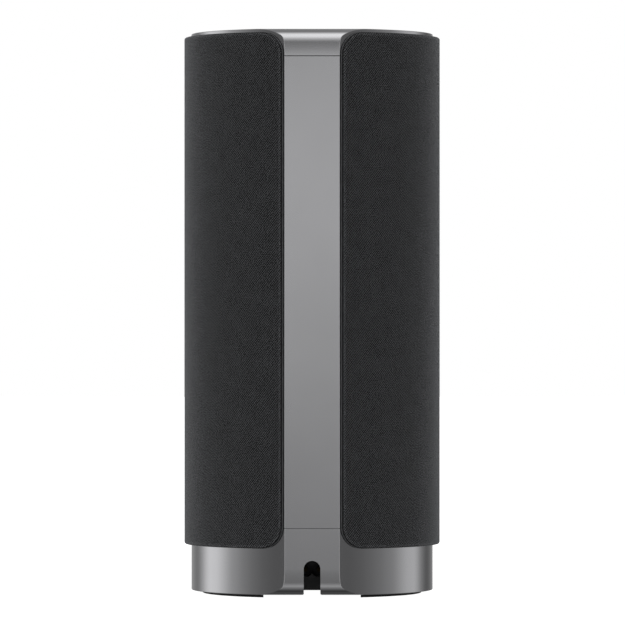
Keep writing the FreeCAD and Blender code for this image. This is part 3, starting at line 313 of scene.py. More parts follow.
def woven_cover_material(props):
    """Polyester twill: two crossing sets of diagonal ribs, flecked yarn and a soft nap.

    The real threads are about 0.55 mm apart; the ribs are drawn a little coarser so they show.
    """
    material, tree, shader = new_material("Woven polyester twill")
    where = add_node(tree, "ShaderNodeUVMap", {"uv_map": "cloth_mm"})
    split = add_node(tree, "ShaderNodeSeparateXYZ", links={0: where})
    wobble = add_node(tree, "ShaderNodeTexNoise", {"Scale": 0.35, "Detail": 2.0},
                      {"Vector": where})

    def ribs(across, up, sway):
        """One set of diagonal ribs: millimetres across and up for one rib, and its unevenness."""
        a = add_node(tree, "ShaderNodeMath", {"operation": "MULTIPLY", 1: 2 * math.pi / across},
                     {0: split.outputs[0]})
        b = add_node(tree, "ShaderNodeMath", {"operation": "MULTIPLY_ADD", 1: 2 * math.pi / up},
                     {0: split.outputs[1], 2: a})
        c = add_node(tree, "ShaderNodeMath", {"operation": "MULTIPLY_ADD", 1: sway},
                     {0: wobble.outputs["Fac"], 2: b})
        wave = add_node(tree, "ShaderNodeMath", {"operation": "SINE"}, {0: c})
        return add_node(tree, "ShaderNodeMapRange", {1: -1.0, 2: 1.0}, {0: wave})

    pitch = props.weave_pitch / MM
    strong = ribs(pitch, -1.22 * pitch, 1.5)
    weak = ribs(0.98 * pitch, 1.02 * pitch, 1.5)
    thread = add_node(tree, "ShaderNodeMath", {"operation": "MULTIPLY", 1: 0.45},
                      {0: weak})
    height = add_node(tree, "ShaderNodeMath", {"operation": "MULTIPLY_ADD", 1: 0.55},
                      {0: strong, 2: thread})
    fleck_place = add_node(tree, "ShaderNodeMapping", {3: (0.9, 1.6, 1.0)},
                           {0: where})
    fleck = add_node(tree, "ShaderNodeTexNoise", {"Scale": 1.3, "Detail": 2.0, "Roughness": 0.6},
                     {"Vector": fleck_place})
    cloud = add_node(tree, "ShaderNodeTexNoise", {"Scale": 0.12, "Detail": 3.0},
                     {"Vector": where})
    faint = add_node(tree, "ShaderNodeMath", {"operation": "MULTIPLY", 1: 0.14},
                     {0: cloud.outputs["Fac"]})
    mottle = add_node(tree, "ShaderNodeMath", {"operation": "MULTIPLY_ADD", 1: 1.5},
                      {0: fleck.outputs["Fac"], 2: faint})
    mixed = add_node(tree, "ShaderNodeMath", {"operation": "MULTIPLY_ADD", 1: 0.75},
                     {0: height, 2: mottle})
    tone = add_node(tree, "ShaderNodeMapRange", {1: 1.08, 2: 1.34}, {0: mixed})
    colour = add_node(tree, "ShaderNodeMix",
                      {"data_type": "RGBA", 6: tuple(props.cloth_dark) + (1.0,),
                       7: tuple(props.cloth_light) + (1.0,)}, {0: tone})
    relief = add_node(tree, "ShaderNodeBump", {"Strength": 0.8, "Distance": 0.25 * MM},
                      {"Height": mixed})
    # Painted light along the edge: the fold is made paler as a painted highlight, and the glued, flat,
    # turned-in hem is made nearly black as painted shade in the gap beside the metal.
    edge = add_node(tree, "ShaderNodeAttribute", {"attribute_name": "edge_mm"})
    painted_fold_highlight_and_hem_shade = ramp(tree, edge.outputs["Fac"], -1.0, 3.0,
                ((-1.0, 0.02), (-0.1, 0.03), (0.45, 0.7), (0.8, 1.5), (1.35, 1.4), (2.0, 1.0),
                 (3.0, 1.0)))
    # The cloth's colour scaled by the painted fold highlight and painted hem shade.
    shade = add_node(tree, "ShaderNodeVectorMath", {"operation": "SCALE"},
                     {0: colour.outputs[2], "Scale": painted_fold_highlight_and_hem_shade})
    tree.links.new(shade.outputs[0], shader.inputs["Base Color"])
    tree.links.new(relief.outputs[0], shader.inputs["Normal"])
    shader.inputs["Roughness"].default_value = 0.85
    shader.inputs["Specular IOR Level"].default_value = 0.15
    shader.inputs["Sheen Weight"].default_value = 0.75
    shader.inputs["Sheen Roughness"].default_value = 0.31
    shader.inputs["Sheen Tint"].default_value = to_linear("#d8dade")
    return material


def anodised_material(props):
    """Bead-blasted and anodised aluminium: an even dark grey with a soft, wide highlight."""
    material, tree, shader = new_material("Anodised aluminium")
    where = add_node(tree, "ShaderNodeTexCoord")
    # The blasted grain is about 0.12 mm wide.
    grain = add_node(tree, "ShaderNodeTexNoise", {"Scale": 1 / (0.12 * MM), "Detail": 2.0},
                     {"Vector": where.outputs["Object"]})
    cloud = add_node(tree, "ShaderNodeTexNoise", {"Scale": 18.0, "Detail": 4.0},
                     {"Vector": where.outputs["Object"]})
    tint = add_node(tree, "ShaderNodeMapRange", {1: 0.3, 2: 0.7}, {0: cloud.outputs["Fac"]})
    base = props.metal_colour
    colour = add_node(tree, "ShaderNodeMix",
                      {"data_type": "RGBA", 6: tuple(0.97 * c for c in base) + (1.0,),
                       7: tuple(1.03 * c for c in base) + (1.0,)}, {0: tint})
    gloss = add_node(tree, "ShaderNodeMapRange",
                     {1: 0.2, 2: 0.8, 3: props.metal_roughness - 0.01,
                      4: props.metal_roughness + 0.01}, {0: grain.outputs["Fac"]})
    relief = add_node(tree, "ShaderNodeBump", {"Strength": 0.05, "Distance": 0.005 * MM},
                      {"Height": grain.outputs["Fac"]})
    tree.links.new(colour.outputs[2], shader.inputs["Base Color"])
    tree.links.new(gloss.outputs[0], shader.inputs["Roughness"])
    tree.links.new(relief.outputs[0], shader.inputs["Normal"])
    shader.inputs["Metallic"].default_value = 1.0
    return material


# For each slot: the stuff's name, its dark and light tones, grain width and relief in
# millimetres, and roughness. The comment above it says what the stuff gives the eye.
RUBBER = {"Specular IOR Level": 0.3}
OPAL = {"Subsurface Weight": 0.4, "Subsurface Scale": 1.0 * MM}
PLAIN_STUFFS = {
    # Spark-eroded mould texture: dull and nearly black.
    "carrier_plastic": ("Moulded ABS carrier", "#1b1b1c", "#232324", 0.5, 0.03, 0.6),
    # A finer, slightly paler texture that scatters what light gets under the column.
    "base_plastic": ("Textured ABS base", "#1c1d1d", "#262828", 0.35, 0.05, 0.6),
    # Soft-touch lacquer: smooth to the eye, with a wide faint sheen and no glint.
    "panel_plastic": ("Soft-touch polycarbonate", "#1a1a1b", "#212122", 0.2, 0.012, 0.48),
    # Opal plastic scatters the lamps' light into an even pale line.
    "diffuser_plastic": ("Opal polycarbonate", "#d9dad8", "#e4e4e2", 0.3, 0.005, 0.35, OPAL),
    # Moulded silicone is matt and takes no highlight.
    "foot_rubber": ("Moulded silicone foot", "#101010", "#191919", 0.3, 0.03, 0.72, RUBBER),
    "seal_rubber": ("Nitrile rubber", "#141414", "#1d1d1d", 0.5, 0.03, 0.7, RUBBER),
    # Nylon straight from the tool: the blackest thing in the notch.
    "inlet_plastic": ("Moulded nylon inlet", "#040404", "#080808", 0.3, 0.008, 0.4),
    # Green lacquer over glass cloth, glossy with a faint mottle.
    "circuit_board": ("Solder resist on glass epoxy", "#123a22", "#1a4d2e", 0.6, 0.01, 0.35),
    # Filled epoxy bodies: charcoal, slightly dusty.
    "part_black": ("Moulded epoxy", "#151515", "#202020", 0.25, 0.01, 0.5),
    # Coarse mould texture on hidden housings.
    "cabinet_plastic": ("Moulded ABS cabinet", "#1d1e1f", "#29292b", 0.6, 0.04, 0.58),
    # Powder coat has a fine orange peel.
    "basket_steel": ("Powder-coated steel", "#161617", "#222224", 0.3, 0.03, 0.5),
    # Ferrite is a dull grey-black ceramic.
    "magnet_ferrite": ("Sintered ferrite", "#252527", "#353538", 0.2, 0.02, 0.55),
    # Pressed fibres: uneven, dry and light-absorbing.
    "cone_paper": ("Pressed pulp", "#1a1a1a", "#2b2b2b", 0.9, 0.08, 0.85),
    # Varnished cotton weave, amber brown.
    "driver_cloth": ("Impregnated cotton", "#3b2a18", "#5a4226", 0.5, 0.1, 0.8),
    # Soft PVC is smooth with a low gloss.
    "cable_sheath": ("Soft PVC sheath", "#141415", "#1f1f20", 0.5, 0.01, 0.45),
    # Pad-printed ink: flat pale grey.
    "printed_mark": ("Pad-printed ink", "#9a9b9c", "#a9aaab", 0.2, 0.002, 0.5),
}
METALS = {
    # Brass darkened to a dull brown as painted shade, for pins deep in the shaded bay.
    "pin_brass": ("Oxidised brass", "#2a2418", "#352d1d", 0.2, 0.004, 0.5),
    # Black passivation leaves a dark, oily shine.
    "screw_steel": ("Black zinc steel", "#3a3a3c", "#4d4d50", 0.15, 0.006, 0.35),
    # Tin plate is bright with a soft blur.
    "can_steel": ("Tinned steel", "#a9aaab", "#c4c5c6", 0.4, 0.004, 0.3),
    # Raw extrusion, pale and a little streaky.
    "sink_aluminium": ("Extruded aluminium", "#9fa1a3", "#c0c2c4", 0.3, 0.01, 0.38),
    # Clear zinc plate: grey with a faint blue cast.
    "motor_steel": ("Zinc-plated steel", "#8d9093", "#adb0b3", 0.25, 0.005, 0.33),
}


def make_materials(props):
    """Every finish, by the record's slot that it belongs to."""
    made = {"column_aluminium": anodised_material(props),
            "cover_cloth": woven_cover_material(props)}
    for slot, values in PLAIN_STUFFS.items():
        made[slot] = grainy(*values)
    for slot, values in METALS.items():
        made[slot] = grainy(*values, {"Metallic": 1.0})
    return made


MATERIALS = {}


# ---------------------------------------------------------------- aluminium column

def slab_inset(rise):
    """How far the flat has rolled inwards at a height above the column's end."""
    inset = 0.0
    lean = 0.0                  # sine of the tilt where an arc starts
    for place_at, (start, radius) in enumerate(SLAB_ARCS):
        if rise >= start:
            break
        end = SLAB_ARCS[place_at + 1][0] if place_at + 1 < len(SLAB_ARCS) else 0.0
        reach = min(lean + (start - max(rise, end)) / radius, 1.0)
        inset += radius * (math.sqrt(1 - lean ** 2) - math.sqrt(1 - reach ** 2))
        lean = reach
    return inset


def rim_inset(rise):
    if rise >= RIM_ROUND:
        return 0.0
    return RIM_ROUND - math.sqrt(RIM_ROUND ** 2 - (RIM_ROUND - rise) ** 2)


FLAT_STEPS = (-1.0, -0.985, -0.6, -0.2, 0.2, 0.6, 0.985, 1.0)
ARC_STEPS = 176
ROUND_REAR = math.radians(13)   # share of a round row that stands in for the flat


def d_row(height, radius, flat):
    """One level of the column: a circle with a flat across its rear, its corners eased."""
    turn = math.acos(flat / radius) if flat < radius else ROUND_REAR
    points = []
    for share in FLAT_STEPS:
        if flat < radius:
            points.append((share * radius * math.sin(turn), -flat, height))
        else:
            points.append((radius * math.sin(share * turn), -radius * math.cos(share * turn),
                           height))
    for step in range(ARC_STEPS + 1):
        share = step / ARC_STEPS
        angle = turn + CORNER_EASE + (2 * math.pi - 2 * turn - 2 * CORNER_EASE) * share
        points.append((radius * math.sin(angle), -radius * math.cos(angle), height))
    return points


def end_rises():
    """Heights above an end, close together where the surface turns quickly."""
    quick = [0, 0.02, 0.06, 0.12, 0.2, 0.27, 0.35, 0.5, 0.7, 1.0, 1.3, 1.7, 2.1, 2.6, 3.1, 3.7,
             4.1, 4.5]
    slow = [5.0, 5.6, 6.2, 6.8, 8.0, 9.0, 10.0, 11.0, 12.0, 12.6, 13.0]
    return [rise * MM for rise in quick + slow]


def build_rows(name, rows, node):
    points = [point for row in rows for point in d_row(*row)]
    count = len(FLAT_STEPS) + ARC_STEPS + 1
    piece = make_object(name, points, ring_faces(len(rows), count, True), "column",
                        "column_aluminium", SHARP_METAL)
    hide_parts(node)
    return piece


NO_FLAT = 1.0                   # a flat this far out never meets the circle


def build_base_ring():
    """Base shell with its bottom lip, hollow inside, and the notch for the lead."""
    inner = BODY_RADIUS - METAL_WALL
    inner_flat = FLAT_REACH - METAL_WALL
    plate_seat = 48.0 * MM
    ledge = 40.0 * MM
    ledge_top = BODY_LOW + 5 * MM
    ledge_foot = BODY_LOW + 2.5 * MM
    bevel = 0.3 * MM
    rows = [(BODY_LOW + rise, BODY_RADIUS - rim_inset(rise), FLAT_REACH - slab_inset(rise))
            for rise in end_rises()]
    c = SEAM_CHAMFER
    top = BASE_TOP + BASE_SEAM_CLOSE
    rows += [(top - c, BODY_RADIUS, FLAT_REACH), (top, BODY_RADIUS - c, FLAT_REACH - c),
             (top, inner, inner_flat), (ledge_top, inner, inner_flat),
             (ledge_top, ledge, NO_FLAT), (ledge_foot, ledge, NO_FLAT),
             (ledge_foot, plate_seat, NO_FLAT), (BODY_LOW + bevel, plate_seat, NO_FLAT),
             (BODY_LOW, plate_seat + bevel, NO_FLAT)]
    piece = build_rows("base_ring", rows, "base_shell")
    half = NOTCH_HALF
    flare = 0.9 * MM
    arch = [(half * math.cos(turn), NOTCH_TOP - half + half * math.sin(turn))
            for turn in (math.pi * step / 24 for step in range(25))]
    # The notch's foot opens out with a small round on each side.
    right = [(half + flare * (1 - math.sin(turn)), BODY_LOW + flare * (1 - math.cos(turn)))
             for turn in (0.5 * math.pi * step / 6 for step in range(7))]
    left = [(-across, up) for across, up in reversed(right)]
    low_edge = [(-half - flare, BODY_LOW - 2 * MM), (half + flare, BODY_LOW - 2 * MM)]
    outline = low_edge + right + arch + left
    notch_depth = -46 * MM
    cut(piece, *prism(outline, "Y", -BODY_RADIUS - 5 * MM, notch_depth))
    # The ledge gives way to the plug's bay.
    bay, back, front = 12.3 * MM, -47.9 * MM, -30 * MM
    wide = [(-bay, back), (bay, back), (bay, front), (-bay, front)]
    cut(piece, *prism(wide, "Z", BODY_LOW - 2 * MM, ledge_top + bevel))
    piece.data.set_sharp_from_angle(angle=math.radians(SHARP_METAL))
    return piece


def build_spine():
    """The extruded strip down the back, with eased ends where the seams are."""
    inner_radius = BODY_RADIUS - METAL_WALL
    inner_flat = FLAT_REACH - METAL_WALL
    c = SEAM_CHAMFER

    def section(height, inset):
        radius = BODY_RADIUS - inset
        flat = FLAT_REACH - inset
        corner = math.acos(FLAT_REACH / BODY_RADIUS)
        end = math.asin(SPINE_HALF / BODY_RADIUS)
        side = [corner + CORNER_EASE + (end - corner - CORNER_EASE) * step / 10
                for step in range(11)]
        half = FLAT_REACH * math.tan(corner)
        outer = [(-radius * math.sin(a), -radius * math.cos(a)) for a in reversed(side)]
        outer += [(share * half, -flat) for share in FLAT_STEPS]
        outer += [(radius * math.sin(a), -radius * math.cos(a)) for a in side]
        inner_corner = math.acos(inner_flat / inner_radius)
        inner_end = math.asin(SPINE_HALF / inner_radius)
        inside = [(inner_radius * math.sin(a), -inner_radius * math.cos(a))
                  for a in (inner_end, inner_corner)]
        return [(x, y, height) for x, y in outer + inside + [(-x, y) for x, y in reversed(inside)]]

    levels = [(SPINE_LOW, c), (SPINE_LOW + c, 0.0), (SPINE_LOW + 2 * c, 0.0),
              (SPINE_HIGH - 2 * c, 0.0), (SPINE_HIGH - c, 0.0), (SPINE_HIGH, c)]
    rows = [section(*level) for level in levels]
    count = len(rows[0])
    points = [point for row in rows for point in row]
    faces = ring_faces(len(rows), count, False)
    faces += [tuple(range(count)), tuple(range((len(rows) - 1) * count, len(rows) * count))]
    piece = make_object("spine_strip", points, faces, "column", "column_aluminium", SHARP_METAL)
    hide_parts("spine_panel")
    return piece


def build_top_rim():
    """The cap: a rounded rim with a wide opening for the control panel."""
    inner = BODY_RADIUS - METAL_WALL
    inner_flat = FLAT_REACH - METAL_WALL
    opening = 46.0 * MM
    room = 51.0 * MM
    under = BODY_HIGH - 2.4 * MM
    c = SEAM_CHAMFER
    low_edge = CAP_LOW - CAP_SEAM_CLOSE
    rows = [(low_edge, BODY_RADIUS - c, FLAT_REACH - c), (low_edge + c, BODY_RADIUS, FLAT_REACH)]
    rows += [(BODY_HIGH - rise, BODY_RADIUS - rim_inset(rise), FLAT_REACH - slab_inset(rise))
             for rise in reversed(end_rises())]
    ease = 0.35 * MM
    rows += [(BODY_HIGH, opening + ease, NO_FLAT),
             (BODY_HIGH - 0.1 * MM, opening + 0.1 * MM, NO_FLAT),
             (BODY_HIGH - ease, opening, NO_FLAT), (under, opening, NO_FLAT), (under, room, NO_FLAT),
             (under - 1.2 * MM, room, NO_FLAT), (under - 1.2 * MM, inner, inner_flat),
             (low_edge, inner, inner_flat)]
    return build_rows("top_rim", rows, "top_cap")


# ---------------------------------------------------------------- woven cover

def cover_lines(half, corner):
    """Grid lines across the cloth from -half to half: fine at the edges, even between."""
    spacing = 2.4 * MM
    near = [0.0, 0.12, 0.3, 0.5, 0.75, 1.05, 1.5, 2.2, 3.2, 4.4, 5.8, 7.4, 9.2]
    edge = [half - step * MM for step in near if step * MM < corner] + [half - corner]
    count = max(int((half - corner) * 2 / spacing), 2)
    middle = [(half - corner) * (1 - 2 * step / count) for step in range(1, count)]
    return sorted(edge + middle + [-value for value in edge])


def build_cover():
    """One piece of cloth stretched round the carrier, its edges turned in over a small radius."""
    edge_half = 14.95 * MM      # from the middle of the rear to the cloth's edge
    corner = 11.0 * MM
    roll = 1.15 * MM            # radius of the fold along the edge
    turn_in = CLOTH_RADIUS - BODY_RADIUS - 0.25 * MM
    reach = CLOTH_RADIUS * (math.pi - math.asin(edge_half / CLOTH_RADIUS))
    rise = (CLOTH_HIGH - CLOTH_LOW) / 2
    middle = (CLOTH_HIGH + CLOTH_LOW) / 2
    across = cover_lines(reach, corner)
    up = cover_lines(rise, corner)

    def eased(s, t):
        """Moves a grid point of the sharp-cornered cloth onto the round-cornered one."""
        a = (abs(s) - (reach - corner)) / corner
        b = (abs(t) - (rise - corner)) / corner
        if a <= 0 or b <= 0:
            return s, t
        a2 = a * math.sqrt(1 - b * b / 2)
        b2 = b * math.sqrt(1 - a * a / 2)
        return (math.copysign(reach - corner + a2 * corner, s),
                math.copysign(rise - corner + b2 * corner, t))

    def inwards(s, t):
        """Distance from the cloth's rounded outline."""
        a = abs(s) - (reach - corner)
        b = abs(t) - (rise - corner)
        if a > 0 and b > 0:
            return corner - math.hypot(a, b)
        return min(reach - abs(s), rise - abs(t))

    def spot(s, t, radius):
        angle = math.pi + s / CLOTH_RADIUS
        return (radius * math.sin(angle), -radius * math.cos(angle), middle + t)

    points = []
    flat = []
    edge_gap = []
    for t in up:
        for s in across:
            s2, t2 = eased(s, t)
            gap = max(inwards(s2, t2), 0.0)
            drop = roll - math.sqrt(roll ** 2 - (roll - gap) ** 2) if gap < roll else 0.0
            points.append(spot(s2, t2, CLOTH_RADIUS - drop))
            flat.append((s2 / MM, t2 / MM))
            edge_gap.append(gap / MM)
    wide = len(across)
    tall = len(up)
    faces = [(row * wide + step, row * wide + step + 1, (row + 1) * wide + step + 1,
              (row + 1) * wide + step) for row in range(tall - 1) for step in range(wide - 1)]
    # The hem: the outline carried straight inwards in a few rows.
    rim = [step for step in range(wide)]
    rim += [row * wide + wide - 1 for row in range(1, tall)]
    rim += [(tall - 1) * wide + step for step in range(wide - 2, -1, -1)]
    rim += [row * wide for row in range(tall - 2, 0, -1)]
    previous = rim
    for depth in (roll + 0.5 * MM, roll + 1.2 * MM, turn_in):
        following = []
        for index in rim:
            s, t = flat[index]
            points.append(spot(s * MM, t * MM, CLOTH_RADIUS - depth))
            flat.append((s + math.copysign(depth / MM, s), t))
            edge_gap.append(-depth / MM)
            following.append(len(points) - 1)
        for step in range(len(rim)):
            ahead = (step + 1) % len(rim)
            faces.append((previous[ahead], previous[step], following[step], following[ahead]))
        previous = following
    mesh = bpy.data.meshes.new("woven_cover")
    mesh.from_pydata(points, [], faces)
    depth_layer = mesh.attributes.new("edge_mm", "FLOAT", "POINT")
    for index, value in enumerate(edge_gap):
        depth_layer.data[index].value = value
    layer = mesh.uv_layers.new(name="cloth_mm")
    for loop in mesh.loops:
        layer.data[loop.index].uv = flat[loop.vertex_index]
    piece = bpy.data.objects.new("woven_cover", mesh)
    place(piece, "column", "cover_cloth", sharp=80.0)
    thick = piece.modifiers.new("thickness", "SOLIDIFY")
    thick.thickness = 0.5 * MM
    thick.offset = -1.0
    apply_modifiers(piece)
    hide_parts("grille_cloth")
    return piece


# ---------------------------------------------------------------- top

def build_light_ring():
    """The pale ring round the control panel, with eased rims."""
    under = low("light_ring").z
    top = high("light_ring").z
    outer = 45.9 * MM
    inner = 43.6 * MM
    ease = 0.3 * MM
    profile = [(inner, under), (outer, under), (outer, top - ease),
               (outer - 0.1 * MM, top - 0.08 * MM), (outer - ease, top), (inner + ease, top),
               (inner + 0.1 * MM, top - 0.08 * MM), (inner, top - ease)]
    piece = make_object("halo_ring", *lathe(profile), "column", "diffuser_plastic")
    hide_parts("light_ring")


def ring_of_spots(radius, first_turn, count=4):
    """Centres spaced evenly round the column's axis."""
    return [(radius * math.cos(turn), radius * math.sin(turn))
            for turn in (first_turn + 2 * math.pi * step / count for step in range(count))]


def button_centre(node):
    return (low(node) + high(node)) / 2


BUTTONS = {"button_volume_up": "volume_up_body", "button_volume_down": "volume_down_body",
           "button_action": "action_body", "button_mic_mute": "mic_mute_body"}


def build_control_panel():
    """A flat disc with an eased rim and openings for the buttons and the microphones."""
    top = high("control_panel").z
    under = low("control_panel").z
    radius = high("control_panel").x
    ease = 0.3 * MM
    profile = [(0, under), (radius, under), (radius, top - ease),
               (radius - 0.09 * MM, top - 0.09 * MM), (radius - ease, top), (30 * MM, top), (0, top)]
    piece = make_object("touch_panel", *lathe(profile), "column", "panel_plastic")
    well = 5.6 * MM
    bevel = 0.12 * MM
    for node in BUTTONS:
        centre = button_centre(node)
        cut(piece, *lathe([(0, under - MM), (well, under - MM), (well, top - bevel),
                           (well + bevel, top), (well + bevel, top + MM), (0, top + MM)], 96,
                          (centre.x, centre.y)))
    sound_hole = 0.6 * MM
    for spot in ring_of_spots(39 * MM, math.radians(22.5)):
        cut(piece, *lathe([(0, under - MM), (sound_hole, under - MM), (sound_hole, top + MM),
                           (0, top + MM)], 32, spot))
    piece.data.set_sharp_from_angle(angle=math.radians(30))
    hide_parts("control_panel")


def bar(width, length, low_edge, top, centre, turn=0.0):
    """A thin rounded bar lying on a button."""
    steps = 8
    half = (length - width) / 2
    outline = []
    for end in (1, -1):
        for step in range(steps + 1):
            angle = math.pi * step / steps - math.pi / 2 + (0 if end > 0 else math.pi)
            outline.append((end * half + width / 2 * math.cos(angle), width / 2 * math.sin(angle)))
    turned = [(centre[0] + x * math.cos(turn) - y * math.sin(turn),
               centre[1] + x * math.sin(turn) + y * math.cos(turn)) for x, y in outline]
    return prism(turned, "Z", low_edge, top)


def join(*shapes):
    points = []
    faces = []
    for some_points, some_faces in shapes:
        start = len(points)
        points += list(some_points)
        faces += [tuple(start + index for index in face) for face in some_faces]
    return points, faces


def build_buttons():
    """Four round keys: a dished cap, a retaining flange and a stem, each with a plain mark."""
    for node, body in BUTTONS.items():
        centre = button_centre(node)
        spot = (centre.x, centre.y)
        top = high(node).z
        stem = low(node).z
        flange = top - 2.9 * MM
        flange_foot = flange - 0.7 * MM
        profile = [(0, stem), (1.6 * MM, stem), (1.6 * MM, flange_foot), (6.3 * MM, flange_foot),
                   (6.3 * MM, flange), (5.5 * MM, flange), (5.5 * MM, top - 0.35 * MM),
                   (5.4 * MM, top - 0.12 * MM), (5.15 * MM, top), (4.6 * MM, top - 0.05 * MM),
                   (3.2 * MM, top - 0.17 * MM), (1.5 * MM, top - 0.23 * MM), (0, top - 0.25 * MM)]
        word = node.removeprefix("button_")
        key = make_object("key_" + word, *lathe(profile, 96, spot), body, "panel_plastic")
        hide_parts(node)
        base = top - 0.3 * MM
        ink = top - 0.17 * MM
        thin = 0.55 * MM
        long = 4 * MM
        under_ink = ink - 0.002 * MM    # where two strokes cross, one lies just below the other
        if node == "button_volume_up":
            shape = join(bar(thin, long, base, ink, spot),
                         bar(thin, long, base, under_ink, spot, math.pi / 2))
        elif node == "button_volume_down":
            shape = bar(thin, long, base, ink, spot)
        elif node == "button_action":
            dot = 0.9 * MM
            shape = lathe([(0, base), (dot, base), (dot, ink), (0, ink)], 48, spot)
        else:
            inner, outer = 1.45 * MM, 1.9 * MM
            ring = lathe([(inner, base), (outer, base), (outer, ink), (inner, ink)], 64, spot)
            shape = join(ring, bar(thin, 5 * MM, base, under_ink, spot, math.pi / 4))
        make_object("mark_" + word, *shape, body, "panel_plastic", finish="printed_mark")


# ---------------------------------------------------------------- underside

def build_foot():
    """A rubber ring, open at the rear where the lead leaves, with round edges."""
    outer = high("rubber_foot").x
    inner = 49.5 * MM
    top = high("rubber_foot").z
    gap = 24 * MM
    ease = 0.45 * MM
    section = []
    for x, y, start in ((inner + ease, ease, 180), (outer - ease, ease, 270),
                        (outer - ease, top - ease, 0), (inner + ease, top - ease, 90)):
        for step in range(5):
            turn = math.radians(start + 22.5 * step)
            section.append((x + ease * math.cos(turn), y + ease * math.sin(turn)))
    steps = 180
    points = []
    for step in range(steps + 1):
        for radius, height in section:
            clear = math.asin(gap / radius)
            turn = clear + (2 * math.pi - 2 * clear) * step / steps
            points.append((radius * math.sin(turn), -radius * math.cos(turn), height))
    count = len(section)
    faces = ring_faces(steps + 1, count, False)
    faces += [tuple(range(count)), tuple(range(steps * count, (steps + 1) * count))]
    piece = make_object("foot_ring", points, faces, "column", "foot_rubber", sharp=50.0)
    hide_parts("rubber_foot")


def build_base_plate():
    """Textured bottom plate with the plug's bay, its slot, screw seats and a moulded groove."""
    base = low("base_plate").z
    top = base + 2.5 * MM
    radius = high("base_plate").x
    ease = 0.35 * MM
    groove = base + 0.4 * MM
    profile = [(0, top), (radius, top), (radius, base + ease),
               (radius - 0.1 * MM, base + 0.1 * MM), (radius - ease, base), (36.6 * MM, base),
               (36.3 * MM, groove), (35.7 * MM, groove), (35.4 * MM, base), (0, base)]
    piece = make_object("bottom_plate", *lathe(profile), "column", "base_plastic")
    round_by = 2.0 * MM
    side = 10.5 * MM - round_by
    front = BAY_FRONT - round_by
    back = -44 * MM + round_by
    corners = []
    for x, y, start in ((side, front, 0), (-side, front, 90), (-side, back, 180), (side, back, 270)):
        for step in range(7):
            turn = math.radians(start + 15 * step)
            corners.append((x + round_by * math.cos(turn), y + round_by * math.sin(turn)))
    cut(piece, *prism(corners, "Z", base - MM, top + MM))
    far, near = -52 * MM, -43 * MM
    cut(piece, *prism([(-NOTCH_HALF, far), (NOTCH_HALF, far), (NOTCH_HALF, near), (-NOTCH_HALF, near)],
                      "Z", base - MM, top + MM))
    seat, mouth, floor = 2.9 * MM, 3.2 * MM, base + 1.4 * MM
    for spot in ring_of_spots(SCREW_RING, FIRST_SCREW):
        cut(piece, *lathe([(0, base - MM), (mouth, base - MM), (mouth, base - 0.001 * MM),
                           (seat, base + 0.3 * MM), (seat, floor), (0, floor)], 48, spot))
    piece.data.set_sharp_from_angle(angle=math.radians(30))
    lip_top = high("base_plate").z
    half = 8.5 * MM
    bevel = 0.3 * MM
    lip = [(-half, top), (half, top), (half, lip_top - bevel), (half - bevel, lip_top),
           (bevel - half, lip_top), (-half, lip_top - bevel)]
    wall = make_object("bay_lip", *prism(lip, "Y", BAY_FRONT, BAY_FRONT + 1.5 * MM), "column",
                       "base_plastic")
    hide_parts("base_plate")
    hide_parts("base_plate")


def screw_shape():
    """One pan-head screw at the origin, head down, with a cross recess."""
    profile = [(0, 0.25), (1.2, 0.22), (2.2, 0.1), (2.55, 0.35), (2.7, 0.75), (2.7, 1.4),
               (1.1, 1.4), (1.1, 9.6), (0.7, 10.2), (0, 10.4)]
    points, faces = lathe([(r * MM, h * MM) for r, h in profile], 48)
    screw = bpy.data.objects.new("screw", closed_mesh("screw", points, faces))
    bpy.context.scene.collection.objects.link(screw)
    arm = 0.28 * MM
    reach = 1.35 * MM
    depth = 0.95 * MM
    for a, b in ((arm, reach), (reach, arm)):
        cut(screw, *prism([(-a, -b), (a, -b), (a, b), (-a, b)], "Z", -MM, depth))
    return screw


def ring_of_tree(item, material):
    """Geometry nodes: copies of an item evenly round a ring, made real, with one material."""
    tree = bpy.data.node_groups.new("Ring of fasteners", "GeometryNodeTree")
    tree.interface.new_socket("Geometry", in_out="OUTPUT", socket_type="NodeSocketGeometry")
    for name, kind in (("Ring radius", "NodeSocketFloat"), ("Count", "NodeSocketInt"),
                       ("First turn", "NodeSocketFloat"), ("Level", "NodeSocketFloat")):
        tree.interface.new_socket(name, in_out="INPUT", socket_type=kind)
    given = add_node(tree, "NodeGroupInput")
    circle = add_node(tree, "GeometryNodeMeshCircle", links={
        "Vertices": given.outputs["Count"], "Radius": given.outputs["Ring radius"]})
    turn = add_node(tree, "ShaderNodeCombineXYZ", links={2: given.outputs["First turn"]})
    lift = add_node(tree, "ShaderNodeCombineXYZ", links={2: given.outputs["Level"]})
    placed = add_node(tree, "GeometryNodeTransform", links={
        "Geometry": circle, "Rotation": turn, "Translation": lift})
    source = add_node(tree, "GeometryNodeObjectInfo", {"Object": item})
    # Each copy is turned a little differently, as screws are when they are driven home.
    spin = add_node(tree, "FunctionNodeRandomValue",
                    {"data_type": "FLOAT", 2: 0.0, 3: 1.5, "Seed": 7})
    about = add_node(tree, "ShaderNodeCombineXYZ", links={2: spin.outputs[1]})
    copies = add_node(tree, "GeometryNodeInstanceOnPoints", links={
        "Points": placed, "Instance": source.outputs["Geometry"],
        "Rotation": about})
    real = add_node(tree, "GeometryNodeRealizeInstances", links={0: copies})
    coloured = add_node(tree, "GeometryNodeSetMaterial", {"Material": material},
                        {"Geometry": real})
    add_node(tree, "NodeGroupOutput", links={0: coloured})
    return tree


